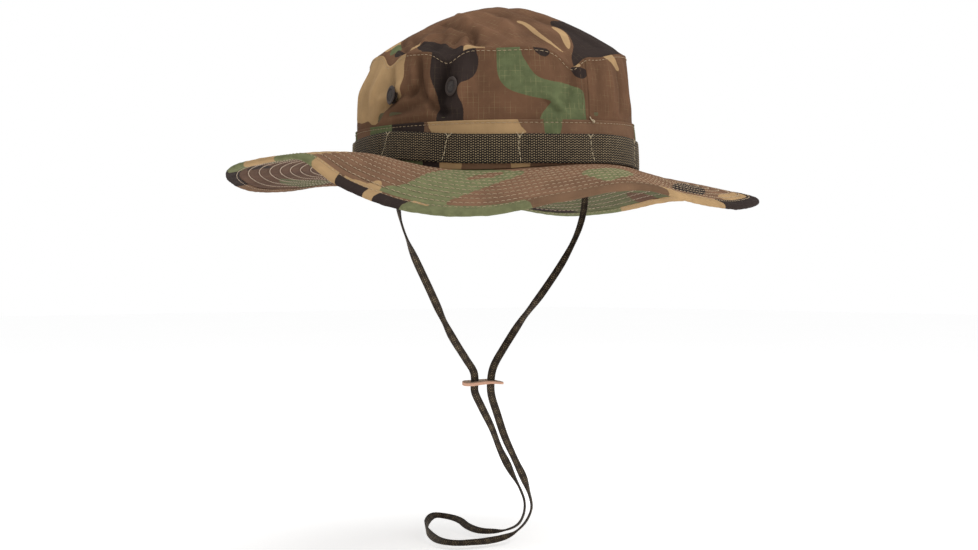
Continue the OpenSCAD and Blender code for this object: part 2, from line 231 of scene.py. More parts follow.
def folds(a, z):
    """Outward movement of the crown side cloth, mm."""
    a = np.asarray(a, float) % 360
    U, V = a * K, np.asarray(z, float)
    r = np.zeros(np.broadcast(U, V).shape)
    for pts, w, dep in CREASES:
        d, t = line_dist(U, V, [(p * K, q) for p, q in pts])
        r += 1.3 * dep * np.exp(-(d / w) ** 2) * (0.35 + 0.65 * np.sin(np.pi * np.clip(0.15 + 0.85 * (1 - t), 0, 1)) ** 0.7)
    x, y = foot(a)
    P = np.stack(np.broadcast_arrays(x, y, V), -1)
    r += 0.8 * noise(P, 24, 1) + 0.3 * noise(P * [1, 1, 0.6], 9, 2)
    # sewn side seams: a low double welt
    for c in (84, 262):
        e = turn(a, c) * K
        r += 0.45 * np.exp(-((e + 2.2) / 2.4) ** 4) - 0.5 * np.exp(-(e / 0.7) ** 2)
    # gathers under the tip seam
    top = tip_z(a)
    r += 0.35 * np.exp(-((top - V) / 4.5) ** 2) * noise(P * [1, 1, 0.2], 5, 3)
    # drawn in at the vents
    for va, vz in ((207.5, 45.5), (179, 43), (332.5, 45.5), (1, 43)):
        d = np.hypot(turn(a, va) * K, V - vz)
        r += -0.7 * np.exp(-(d / 9) ** 2)
        r += math.tan(math.radians(-VENT_TURN[va])) * 0.9 * turn(a, va) * K * np.exp(-(d / 8.5) ** 2)
    return r * smooth(V, 23, 31) * (0.25 + 0.75 * smooth(top - V, 0.0, 5))


def crown(a, z, off=0.0, fold=True):
    f = folds(a, z) if fold else 0.0
    x, y = foot(a, off + dent(a, z) + f, lean(z))
    return np.stack(np.broadcast_arrays(x, y, np.asarray(z, float)), -1)


DOME_CREASES = [
    ([(-45, 0), (-50, -18), (-51.5, -30), (-52.5, -38), (-58, -43)], 2.4, -2.2),
    ([(-36, -4), (-46, -22), (-47.5, -35), (-47, -50), (-49, -64), (-50, -70)], 3.0, 1.5),
    ([(-62, -31), (-58, -32), (-54, -36)], 2.0, -1.5),
    ([(-60, 22), (-66, 14), (-72, 4), (-76, -2)], 2.2, -2.0), ([(-61, 10), (-67, 0), (-71, -10)], 2.2, -1.7),
    ([(-70, -7), (-60, -12), (-54, -17)], 2.6, 1.2), ([(-33, -10), (-31, -24), (-34, -47), (-40, -62)], 3.4, 0.9),
    ([(-27, -20), (-24, -40), (-28, -60)], 3.2, -0.8),
    ([(-8, -30), (10, -52), (16, -74)], 5.0, -1.3), ([(4, -20), (24, -44), (40, -66)], 6.0, 1.0),
    ([(-52, -8), (-62, -20), (-74, -26)], 4.0, -1.6), ([(-40, -16), (-54, -34), (-66, -44)], 4.0, 1.3),
    ([(-48, -30), (-58, -44), (-60, -58)], 3.2, -1.7), ([(-62, -6), (-80, -12)], 4.0, 1.0),
    ([(-30, -40), (-40, -58), (-46, -70)], 4.0, 1.1), ([(-16, -46), (-26, -64), (-30, -80)], 5.0, -0.9),
    ([(30, -20), (52, -40), (62, -52)], 5.0, -0.8), ([(40, 5), (60, 0), (76, -6)], 6.0, 1.0),
    ([(20, 40), (34, 56), (42, 68)], 6.0, -1.0), ([(-14, 46), (-20, 62), (-24, 78)], 5.0, 1.0),
    ([(-46, 24), (-58, 36), (-66, 44)], 5.0, -1.0), ([(-50, 6), (-66, 10), (-78, 12)], 5.0, 0.9),
]


def dome(a, q, dz=0.0, inset=0.0, fold=True):
    a, q = np.broadcast_arrays(np.asarray(a, float), np.asarray(q, float))
    k = lean(SIDE + (tip_z(a) - SIDE) * q ** 4) * q
    f = folds(a, tip_z(a)) if fold else 0.0
    x, y = foot(a, (dent(a, tip_z(a)) - inset + f) * q, k)
    x, y = x - 2.2 * (1 - q), y + 2 * (1 - q)
    z = SIDE + cr(TIP, a) * q + pucker(a) * q ** 8 + DOME * np.maximum(1 - q * q, 0) ** 1.2 + dz
    if fold:
        w = smooth(1 - q, 0.0, 0.08)
        r = np.zeros(x.shape)
        for pts, wd, dep in DOME_CREASES:
            d, t = line_dist(x, y, pts)
            r += 1.25 * dep * np.exp(-(d / wd) ** 2)
        P = np.stack([x, y, z], -1)
        r += 0.7 * noise(P, 22, 5) + 0.25 * noise(P, 8, 6)
        r -= 2.2 * np.exp(-((x + 28) ** 2 + (y - 22) ** 2) / 24 ** 2)
        # radial gathers at the seam
        r += 0.5 * np.exp(-((1 - q) / 0.07) ** 2) * noise(P * [1, 1, 0.2], 6, 7)
        z = z + r * w
        # the cloth rolls into the seam
        z = z - 0.55 * np.exp(-((1 - q) / 0.012) ** 2)
    return np.stack([x, y, z], -1)


# ------------------------------------------------------------------ meshes
def build(name, V, F, attrs=None, mats=(), midx=None, shade=True):
    me = bpy.data.meshes.new(name)
    V = np.asarray(V, float) * MM
    F = np.asarray(F)
    me.vertices.add(len(V))
    me.vertices.foreach_set("co", V.astype(np.float32).ravel())
    if F.ndim == 2:
        n, k = F.shape
        me.loops.add(n * k)
        me.loops.foreach_set("vertex_index", F.astype(np.int32).ravel())
        me.polygons.add(n)
        me.polygons.foreach_set("loop_start", np.arange(0, n * k, k, dtype=np.int32))
    else:
        sizes = np.array([len(f) for f in F])
        me.loops.add(int(sizes.sum()))
        me.loops.foreach_set("vertex_index", np.concatenate([np.asarray(f) for f in F]).astype(np.int32))
        me.polygons.add(len(F))
        me.polygons.foreach_set("loop_start", np.concatenate([[0], np.cumsum(sizes)[:-1]]).astype(np.int32))
    me.update(calc_edges=True)
    me.validate()
    for key, val in (attrs or {}).items():
        val = np.asarray(val, float)
        if val.ndim == 2:
            at = me.attributes.new(key, "FLOAT_VECTOR", "POINT")
            at.data.foreach_set("vector", val.astype(np.float32).ravel())
        else:
            at = me.attributes.new(key, "FLOAT", "POINT")
            at.data.foreach_set("value", val.astype(np.float32).ravel())
    for m in mats:
        me.materials.append(m)
    if midx is not None:
        me.polygons.foreach_set("material_index", np.asarray(midx, np.int32))
    if shade:
        me.polygons.foreach_set("use_smooth", np.ones(len(me.polygons), bool))
    ob = bpy.data.objects.new(name, me)
    COL.objects.link(ob)
    return ob


def quads(R, C, wrap, base=0, flip=False):
    r, c = np.meshgrid(np.arange(R - 1), np.arange(C if wrap else C - 1), indexing="ij")
    d = (c + 1) % C
    q = np.stack([r * C + c, r * C + d, (r + 1) * C + d, (r + 1) * C + c], -1).reshape(-1, 4) + base
    return q[:, ::-1] if flip else q


def shell(name, OUT, INN, wrap, attrs_out, mats, two=True, flip=False):
    """Closed cloth between two grids (R, C, 3); the first material outside, the second inside."""
    R, C, _ = OUT.shape
    n = R * C
    V = np.concatenate([OUT.reshape(-1, 3), INN.reshape(-1, 3)])
    fo, fi = quads(R, C, wrap, 0), quads(R, C, wrap, n, True)
    rim = []
    cc = np.arange(C if wrap else C - 1)
    d = (cc + 1) % C
    rim.append(np.stack([d, cc, n + cc, n + d], -1))
    k = (R - 1) * C
    rim.append(np.stack([k + cc, k + d, n + k + d, n + k + cc], -1))
    if not wrap:
        rr = np.arange(R - 1)
        rim.append(np.stack([rr * C, (rr + 1) * C, n + (rr + 1) * C, n + rr * C], -1))
        e = C - 1
        rim.append(np.stack([(rr + 1) * C + e, rr * C + e, n + rr * C + e, n + (rr + 1) * C + e], -1))
    rim = np.concatenate(rim)
    F = np.concatenate([fo, fi, rim])
    if flip:
        F = F[:, ::-1]
    midx = np.concatenate([np.zeros(len(fo), int), np.full(len(fi), 1 if len(mats) > 1 else 0), np.zeros(len(rim), int)])
    A = {k2: np.concatenate([v.reshape((n,) + v.shape[2:])] * 2) for k2, v in attrs_out.items()}
    return build(name, V, F, A, mats, midx)


class Stitches:
    """Many short raised threads gathered into one mesh."""
    def __init__(self):
        self.V, self.F, self.n = [], [], 0

    def row(self, P, N, pitch=3.5, length=2.6, width=0.5, height=0.34, lift=0.0, closed=False, jitter=0.12, seed=0, skip=None):
        P, N = np.asarray(P, float), np.asarray(N, float)
        if closed:
            P, N = np.concatenate([P, P[:1]]), np.concatenate([N, N[:1]])
        L = np.concatenate([[0], np.cumsum(np.linalg.norm(np.diff(P, axis=0), axis=1))])
        m = max(int(L[-1] / pitch), 1)
        g = np.random.default_rng(seed + 17)
        s0 = (np.arange(m) + 0.5) * L[-1] / m + g.normal(0, jitter, m)
        ln = length * (1 + g.normal(0, 0.07, m))
        ts = np.array([-0.5, -0.3, 0.0, 0.3, 0.5])
        pr = np.array([0.35, 0.85, 1.0, 0.85, 0.35])
        hz = np.array([-0.55, 0.35, 0.7, 0.35, -0.55])
        S = s0[:, None] + ln[:, None] * ts[None]
        S = np.clip(S, 0, L[-1])
        C = np.stack([np.interp(S, L, P[:, i]) for i in range(3)], -1)
        Nn = np.stack([np.interp(S, L, N[:, i]) for i in range(3)], -1)
        Nn /= np.linalg.norm(Nn, axis=-1, keepdims=True)
        T = C[:, -1:] - C[:, :1]
        T = T / (np.linalg.norm(T, axis=-1, keepdims=True) + 1e-9)
        B = np.cross(Nn, np.broadcast_to(T, Nn.shape))
        B /= np.linalg.norm(B, axis=-1, keepdims=True) + 1e-9
        ctr = C + Nn * (lift + height * hz)[None, :, None]
        ang = np.arange(6) * math.pi / 3
        ring = (ctr[:, :, None] + B[:, :, None] * (np.cos(ang)[None, None, :, None] * width / 2 * pr[None, :, None, None])
                + Nn[:, :, None] * (np.sin(ang)[None, None, :, None] * height / 2 * pr[None, :, None, None]))
        if skip is not None:
            keep = ~skip(C[:, 2])
            ring = ring[keep]
        m = len(ring)
        if m == 0:
            return
        self.V.append(ring.reshape(-1, 3))
        base = (np.arange(m) * 30)[:, None, None]
        r, j = np.meshgrid(np.arange(4), np.arange(6), indexing="ij")
        k = (j + 1) % 6
        q = np.stack([r * 6 + j, r * 6 + k, (r + 1) * 6 + k, (r + 1) * 6 + j], -1).reshape(-1, 4)
        self.F.append((q[None] + base + self.n).reshape(-1, 4))
        caps = np.array([[3, 2, 1, 0], [5, 4, 3, 0], [24, 25, 26, 27], [24, 27, 28, 29]])
        self.F.append((caps[None] + base + self.n).reshape(-1, 4))
        self.n += m * 30

    def tube(self, P, r=0.22, sides=6):
        P = np.asarray(P, float)
        n = len(P)
        T = np.gradient(P, axis=0)
        T /= np.linalg.norm(T, axis=1, keepdims=True) + 1e-9
        ref = np.array([0.31, 0.77, 0.55])
        A = np.cross(T, ref)
        A /= np.linalg.norm(A, axis=1, keepdims=True)
        B = np.cross(T, A)
        an = np.arange(sides) * 2 * math.pi / sides
        rad = r * np.clip(np.minimum(np.arange(n) + 0.6, n - 0.4 - np.arange(n)), 0.4, 1)[:, None, None]
        ring = P[:, None] + A[:, None] * np.cos(an)[None, :, None] * rad + B[:, None] * np.sin(an)[None, :, None] * rad
        self.V.append(ring.reshape(-1, 3))
        rr, j = np.meshgrid(np.arange(n - 1), np.arange(sides), indexing="ij")
        k = (j + 1) % sides
        self.F.append(np.stack([rr * sides + j, rr * sides + k, (rr + 1) * sides + k, (rr + 1) * sides + j], -1).reshape(-1, 4) + self.n)
        e = (n - 1) * sides
        self.F.append(np.array([[3, 2, 1, 0], [5, 4, 3, 0], [e, e + 1, e + 2, e + 3], [e, e + 3, e + 4, e + 5]]) + self.n)
        self.n += n * sides

    def make(self, name, mat):
        return build(name, np.concatenate(self.V), np.concatenate(self.F), {}, [mat])


# ------------------------------------------------------------------ materials
def lin(c):
    return tuple([(v / 255 / 12.92) if v <= 10 else (((v / 255) + 0.055) / 1.055) ** 2.4 for v in c]) + (1.0,)


class Mat:
    def __init__(self, name, rough=0.9, sheen=0.0, metal=0.0, spec=0.25):
        self.m = bpy.data.materials.new(name)
        self.m.use_nodes = True
        self.t = self.m.node_tree
        self.b = self.t.nodes["Principled BSDF"]
        self.b.inputs["Roughness"].default_value = rough
        self.b.inputs["Metallic"].default_value = metal
        self.b.inputs["Specular IOR Level"].default_value = spec
        self.b.inputs["Sheen Weight"].default_value = sheen
        self.b.inputs["Sheen Roughness"].default_value = 0.45

    def node(self, kind, **kw):
        n = self.t.nodes.new(kind)
        for k, v in kw.items():
            setattr(n, k, v)
        return n

    def put(self, sock, v):
        if isinstance(v, (int, float)):
            sock.default_value = v
        elif isinstance(v, tuple):
            sock.default_value = v
        else:
            self.t.links.new(v, sock)

    def math(self, op, a, b=None, c=None, clamp=False):
        n = self.node("ShaderNodeMath", operation=op, use_clamp=clamp)
        self.put(n.inputs[0], a)
        if b is not None:
            self.put(n.inputs[1], b)
        if c is not None:
            self.put(n.inputs[2], c)
        return n.outputs[0]

    def attr(self, name):
        n = self.node("ShaderNodeAttribute", attribute_name=name)
        return n

    def split(self, v):
        n = self.node("ShaderNodeSeparateXYZ")
        self.put(n.inputs[0], v)
        return n.outputs

    def step(self, v, a, b):
        n = self.node("ShaderNodeMapRange", interpolation_type="SMOOTHSTEP")
        self.put(n.inputs["Value"], v)
        n.inputs["From Min"].default_value = a
        n.inputs["From Max"].default_value = b
        return n.outputs["Result"]

    def mix(self, f, a, b, blend="MIX"):
        n = self.node("ShaderNodeMix", data_type="RGBA", blend_type=blend)
        self.put(n.inputs[0], f)
        self.put(n.inputs[6], a)
        self.put(n.inputs[7], b)
        return n.outputs[2]

    def noise(self, scale, detail=3.0, vec=None, rough=0.55):
        n = self.node("ShaderNodeTexNoise")
        n.inputs["Scale"].default_value = scale
        n.inputs["Detail"].default_value = detail
        n.inputs["Roughness"].default_value = rough
        if vec is None:
            vec = self.node("ShaderNodeTexCoord").outputs["Object"]
        self.put(n.inputs["Vector"], vec)
        return n.outputs["Fac"]

    def wave(self, v, pitch):
        """0 to 1 to 0 along v, mm."""
        return self.math("MULTIPLY_ADD", self.math("SINE", self.math("MULTIPLY", v, 2 * math.pi / pitch)), 0.5, 0.5)

    def pulse(self, v, pitch, width):
        """1 on a line of that width every pitch, mm."""
        d = self.math("PINGPONG", v, pitch / 2)
        return self.step(d, width * 0.5 + 0.12, width * 0.5 - 0.12)

    def bump(self, h, strength, dist=0.0003):
        n = self.node("ShaderNodeBump")
        n.inputs["Strength"].default_value = strength
        n.inputs["Distance"].default_value = dist
        self.put(n.inputs["Height"], h)
        self.t.links.new(n.outputs[0], self.b.inputs["Normal"])

    def color(self, c):
        self.put(self.b.inputs["Base Color"], c)

    def scale(self, c, f):
        """colour times a grey factor socket"""
        g = self.node("ShaderNodeCombineColor")
        for i in range(3):
            self.put(g.inputs[i], f)
        return self.mix(1.0, c, g.outputs[0], "MULTIPLY")


BROWN, GREEN, TAN, BLACK = (105, 77, 58), (92, 99, 69), (178, 146, 106), (52, 43, 40)


def camo(name, brown=BROWN, green=GREEN, tan=TAN, black=BLACK, grid=1.0, gain=1.0):
    k = Mat(name, rough=0.95, sheen=0.0, spec=0.07)
    at = k.attr("camo").outputs["Vector"]
    g, t, b = k.split(at)
    uv = k.attr("uvw").outputs["Vector"]
    u, v, w = k.split(uv)
    j = k.math("MULTIPLY_ADD", k.noise(900, 2), 0.7, -0.35)
    big = k.noise(42, 4)
    mid = k.noise(210, 3)
    base = k.mix(k.step(big, 0.35, 0.68), lin(tuple(c * 0.94 for c in brown)), lin(tuple(min(c * 1.07, 255) for c in brown)))
    gm = k.step(k.math("ADD", g, j), -0.16, 0.16)
    tm = k.step(k.math("ADD", t, j), -0.16, 0.16)
    bm = k.step(k.math("ADD", b, j), -0.16, 0.16)
    gc = k.mix(k.step(mid, 0.35, 0.7), lin(green), lin(tuple(min(c * 1.08, 255) for c in green)))
    c = k.mix(gm, base, gc)
    tc = k.mix(k.step(big, 0.35, 0.7), lin(tuple(c2 * 0.93 for c2 in tan)), lin(tan))
    c = k.mix(tm, c, tc)
    c = k.mix(bm, c, lin(black))
    # ripstop yarns, fine weave
    lines = k.math("MAXIMUM", k.pulse(u, 3.2, 0.16), k.math("MULTIPLY", k.pulse(v, 3.2, 0.16), 0.6))
    breakup = k.step(k.noise(140, 3), 0.42, 0.66)
    amt = k.math("MULTIPLY", k.math("MULTIPLY", lines, breakup), k.math("MULTIPLY_ADD", gm, 0.16 * grid, 0.16 * grid))
    amt = k.math("MULTIPLY", amt, k.math("SUBTRACT", 1.0, k.math("MULTIPLY", bm, 0.6)))
    c = k.mix(amt, c, lin((222, 206, 150)))
    weave = k.math("MULTIPLY", k.wave(u, 0.42), k.wave(v, 0.42))
    f = k.math("MULTIPLY_ADD", weave, 0.10, 0.95 * gain)
    f = k.math("ADD", f, k.math("MULTIPLY_ADD", mid, 0.16, -0.08))
    # lighter where w is up and darker where it is down: painted shade in creases, under the band and along seams,
    # painted highlight on fold ridges, some lighter edges and random tone
    f = k.math("ADD", f, k.math("MULTIPLY", w, 0.35))
    c = k.scale(c, f)
    k.color(c)
    h = k.math("ADD", k.math("MULTIPLY", weave, 0.5), k.math("MULTIPLY_ADD", lines, 0.5, k.math("MULTIPLY", mid, 1.2)))
    k.bump(h, 0.5, 0.00025)
    return k.m


def plain_cloth(name, col, twill=0.5, var=0.14, rough=0.92, line=0.0):
    k = Mat(name, rough=rough, sheen=0.08, spec=0.15)
    u, v, w = k.split(k.attr("uvw").outputs["Vector"])
    diag = k.wave(k.math("ADD", u, v), twill * 1.6)
    cross = k.wave(k.math("SUBTRACT", u, v), twill * 0.8)
    tw = k.math("MULTIPLY_ADD", cross, 0.3, k.math("MULTIPLY", diag, 0.7))
    n = k.noise(120, 4)
    f = k.math("MULTIPLY_ADD", n, var * 2, 1 - var)
    f = k.math("MULTIPLY", f, k.math("MULTIPLY_ADD", tw, 0.2, 0.88))
    f = k.math("ADD", f, k.math("MULTIPLY", w, 0.3))
    k.color(k.scale(lin(col), f))
    k.bump(k.math("ADD", tw, n), 0.5, 0.00025)
    return k.m


def thread(name, col):
    k = Mat(name, rough=0.8, sheen=0.1, spec=0.25)
    n = k.noise(1400, 3)
    f = k.math("MULTIPLY_ADD", n, 0.5, 0.74)
    k.color(k.scale(lin(col), f))
    k.bump(n, 0.5, 0.0001)
    return k.m


def woven(name, dark, light, pu, pv, rough=0.75):
    """Coarse weave that reads its height from the mesh."""
    k = Mat(name, rough=rough, sheen=0.05, spec=0.25)
    u, v, w = k.split(k.attr("uvw").outputs["Vector"])
    h = k.attr("height").outputs["Fac"]
    n = k.noise(260, 3)
    fine = k.math("MULTIPLY", k.wave(u, pu / 4), k.wave(v, pv / 4))
    # the raised yarns take the light colour and the low places the dark one: painted highlight on the yarn crowns and
    # painted shade between the yarns
    t = k.step(k.math("ADD", h, k.math("MULTIPLY_ADD", n, 0.3, -0.15)), 0.36, 0.86)
    c = k.mix(t, lin(dark), lin(light))
    f = k.math("MULTIPLY_ADD", fine, 0.22, 0.86)
    # w darkens it: painted shade along the webbing's edges and at its tacks
    f = k.math("ADD", f, k.math("MULTIPLY", w, 0.4))
    k.color(k.scale(c, f))
    k.bump(k.math("MULTIPLY_ADD", fine, 0.7, n), 0.45, 0.0002)
    return k.m


def enamel(name, col, rough=0.42, painted_light_and_tone=(150, 142, 132)):
    k = Mat(name, rough=rough, metal=0.0, spec=0.22)
    n = k.noise(600, 4)
    e = k.attr("height").outputs["Fac"]
    # where the height attribute is up the paler colour comes through in patches: painted highlight on the rings' raised
    # tops and on the screen wires
    t = k.math("MULTIPLY", k.step(k.math("ADD", e, k.math("MULTIPLY_ADD", n, 0.9, -0.45)), 0.5, 0.95), 0.6)
    k.color(k.mix(t, lin(col), lin(painted_light_and_tone)))
    r = k.math("MULTIPLY_ADD", n, 0.3, rough - 0.12)
    k.put(k.b.inputs["Roughness"], r)
    k.bump(n, 0.25, 0.0001)
    return k.m


def leather(name, col):
    k = Mat(name, rough=0.6, spec=0.35)
    vor = k.node("ShaderNodeTexVoronoi")
    vor.inputs["Scale"].default_value = 900
    k.put(vor.inputs["Vector"], k.node("ShaderNodeTexCoord").outputs["Object"])
    n = k.noise(160, 5)
    f = k.math("MULTIPLY_ADD", n, 0.4, 0.8)
    f = k.math("MULTIPLY", f, k.math("MULTIPLY_ADD", k.step(vor.outputs["Distance"], 0.0, 0.5), 0.12, 0.9))
    e = k.attr("height").outputs["Fac"]
    c = k.mix(k.step(e, 0.5, 1.0), lin(col), lin((204, 158, 132)))
    k.color(k.scale(c, f))
    k.put(k.b.inputs["Roughness"], k.math("MULTIPLY_ADD", n, 0.3, 0.45))
    k.bump(k.math("ADD", vor.outputs["Distance"], n), 0.4, 0.0002)
    return k.m


M_SIDE = camo("camo_side")
M_DOME = camo("camo_dome")
# the brim's top and under copies are the same cloth, painted lighter on top and darker underneath: painted light on the
# top and painted shade below
M_TOP = camo("camo_brim_top_lit", brown=(120, 91, 71), green=(108, 110, 78))
M_UNDER = camo("camo_brim_under_shaded", brown=(89, 67, 55), green=(88, 88, 65))
M_EDGE = camo("camo_binding", brown=(113, 87, 67), green=(106, 108, 77), grid=0.5)
M_BAND = camo("camo_band", brown=(112, 85, 66), grid=0.6)
M_INSIDE = plain_cloth("cloth_reverse", (112, 98, 76), 0.5)
M_OLIVE = plain_cloth("olive_twill", (88, 82, 58), 0.9)
M_LINING = plain_cloth("stiffened_cotton", (190, 184, 168), 0.8)
M_WEB = woven("webbing_weave", (20, 15, 11), (160, 140, 108), 1.5, 1.3)
M_BRAID = woven("braid_weave", (44, 34, 26), (186, 164, 128), 1.6, 1.2)
M_THREAD = thread("thread_beige", (172, 150, 120))
M_THREAD_T = thread("thread_brim", (190, 168, 138))
M_THREAD_B = thread("thread_brown", (104, 82, 64))
M_THREAD_U = thread("thread_under", (190, 168, 146))
M_THREAD_D = thread("thread_olive", (120, 108, 80))
M_THREAD_W = thread("thread_pale", (196, 180, 150))
M_VENT = enamel("vent_black", (62, 53, 49), 0.55, (150, 136, 122))
M_MESH = enamel("vent_wire", (70, 64, 62), 0.5, (120, 112, 104))
M_LEATHER = leather("slider_tan", (220, 190, 166))
M_LABEL = plain_cloth("label_blank", (206, 200, 182), 0.4, 0.08)

# ------------------------------------------------------------------ chin cord, first of the pieces
ROUTE = [[-79.5, 0, -1, -2], [-80.5, 1, -14, -2], [-77.5, 3, -32, -1], [-67, 4, -53, 0], [-51, 6, -77, 0], [-33, 8, -104, 0],
         [-18, 9, -122, 0], [-11.5, 9, -130, 0], [-10, 9, -136, 0], [-10, 9, -144, 0], [-5, 8, -154, 0], [3, 7, -168, 0],
         [10, 7, -182, 0.2], [19, 7, -196, 0.6], [28, 8, -208, 1], [36, 11, -219, 1], [41, 17, -229, 1], [42, 24, -237, 1],
         [38, 31, -241, 1.2], [32, 37, -242, 1.6], [27, 46, -242, 1.8], [29, 60, -241, 2], [35, 76, -239, 2], [36, 89, -238, 2],
         [28, 95, -237, 2], [14, 86, -239, 2], [-2, 67, -241, 2], [-15, 45, -242, 2], [-22, 28, -242, 2],
         [-20, 16, -242, 2], [-10, 11, -242, 2], [1, 9, -242, 2], [14, 8, -241, 1.6], [26, 8, -238, 1.2],
         [34, 7, -232, 1], [36, 4, -223, 1], [32, 2, -213, 1], [26, 1, -202, 0.6], [18, 1, -189, 0.2], [10, 2, -174, 0],
         [3, 2, -158, 0], [-1.8, 2, -146, 0], [-2.2, 2, -136, 0], [0.5, 2, -127, 0], [8, 1, -116, 0], [24, 1, -98, 0],
         [42, -1, -79, 0], [60, -3, -57, 0], [74, -3, -36, -1], [80.5, -2, -16, -2], [79.5, 0, -1, -2]]
BW, BT = 6.0, 1.6


def along(route, step):
    R = np.array(route, float)
    n = len(R) - 1
    u = np.linspace(0, n, n * 40 + 1)
    i = np.minimum(np.floor(u).astype(int), n - 1)
    f = (u - i)[:, None]
    g = lambda j: R[np.clip(j, 0, n)]
    p0, p1, p2, p3 = g(i - 1), g(i), g(i + 1), g(i + 2)
    C = 0.5 * (2 * p1 + (p2 - p0) * f + (2 * p0 - 5 * p1 + 4 * p2 - p3) * f ** 2 + (3 * p1 - p0 - 3 * p2 + p3) * f ** 3)
    L = np.concatenate([[0], np.cumsum(np.linalg.norm(np.diff(C[:, :3], axis=0), axis=1))])
    m = int(L[-1] / step)
    S = np.linspace(0, L[-1], m + 1)
    return np.stack([np.interp(S, L, C[:, k]) for k in range(4)] + [np.interp(S, L, u)], -1), S


CP, CS = along(ROUTE, 0.45)


def make_cord():
    P = CP[:, :3]
    n = len(P)
    T = np.gradient(P, axis=0)
    # gentle tangents, so the flat doesn't kink
    ker = np.ones(15) / 15
    T = np.stack([np.convolve(np.pad(T[:, k], 7, mode="edge"), ker, "valid") for k in range(3)], -1)
    T /= np.linalg.norm(T, axis=1, keepdims=True)
    k = np.clip(CP[:, 3], -2, 2)
    ac = np.array([math.cos(math.radians(-42)), math.sin(math.radians(-42)), 0])
    al = np.array([-ac[1], ac[0], 0])
    up = np.array([0, 0, 1.0])
    G = np.where(k[:, None] <= 1, ac * (1 - k[:, None]) + al * k[:, None], al * (2 - k[:, None]) + up * (k[:, None] - 1))
    W = G - T * np.sum(G * T, 1)[:, None]
    W /= np.linalg.norm(W, axis=1, keepdims=True)
    # half turns that a hanging braid takes
    s = CS
    tw = np.zeros(n)
    for c, w, d in TWISTS:
        tw += np.radians(d) * np.exp(-((s - c) / w) ** 2)
    N0 = np.cross(T, W)
    W, N = W * np.cos(tw)[:, None] + N0 * np.sin(tw)[:, None], N0 * np.cos(tw)[:, None] - W * np.sin(tw)[:, None]
    sides = 28
    j = np.arange(sides) * 2 * math.pi / sides
    cx, cy = np.cos(j), np.sin(j)
    ex = np.sign(cx) * np.abs(cx) ** 0.72 * BW * 0.86 / 2
    ey = np.sign(cy) * np.abs(cy) ** 0.62 * BT / 2 * 0.86
    # plaited relief: two sets of yarns crossing in the flat
    U, X = s[:, None], ex[None, :]
    face = np.sign(cy)[None, :]
    ph = (U * 1.0 + face * 0.4)
    r1 = np.cos((ph / 1.7 + X / 1.5) * 2 * math.pi)
    r2 = np.cos((ph / 1.7 - X / 1.5) * 2 * math.pi)
    h = np.maximum(r1, 0) * np.maximum(r2, 0) + 0.35 * np.maximum(-r1, 0) * np.maximum(-r2, 0)
    h = h ** 0.8
    rel = (h - 0.35) * 0.22
    nrm = np.hypot(cx, cy)
    pos = (P[:, None] + W[:, None] * (ex[None, :, None] + cx[None, :, None] * rel[:, :, None] * 0.6)
           + N[:, None] * (ey[None, :, None] + np.sign(cy)[None, :, None] * rel[:, :, None] * (np.abs(cy)[None, :, None] > 0.15)))
    F = quads(n, sides, True)
    uv = np.stack(np.broadcast_arrays(U, X, 0 * U), -1)
    V = pos.reshape(-1, 3)
    A = {"uvw": uv.reshape(-1, 3), "height": h.ravel()}
    # closed ends
    V = np.concatenate([V, P[:1], P[-1:]])
    A = {"uvw": np.concatenate([A["uvw"], [[0, 0, 0]] * 2]), "height": np.concatenate([A["height"], [0, 0]])}
    c = np.arange(sides)
    d = (c + 1) % sides
    b = (n - 1) * sides
    e0, e1 = n * sides, n * sides + 1
    tri = [np.stack([d, c, np.full(sides, e0)], -1), np.stack([b + c, b + d, np.full(sides, e1)], -1)]
    faces = [list(f) for f in F] + [list(f) for f in np.concatenate(tri)]
    ob = build("chin_cord", V, np.array(faces, dtype=object), A, [M_BRAID])
    return ob


TWISTS = [(42, 17, 66), (109, 12, -62), (206, 20, 45), (342, 60, 56), (456, 52, -56), (560, 18, -45), (677, 15, 62), (735, 16, -24)]
cord = make_cord()
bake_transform(cord)
# the braid's stretch through the slider is worked out here, but nothing is moved: the braid is left as it is
zc, ci = CP[:, 2], np.repeat(CP[:, 4], 28)
i1, i2 = 8.5, 42.5
for i0, run_up, run_dn in ((CP[:, 4] - 0, None, None),):
    ui = i0
    first = ui < 25
    cen = np.where(first, i1, i2)
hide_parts("chin_strap_cord")


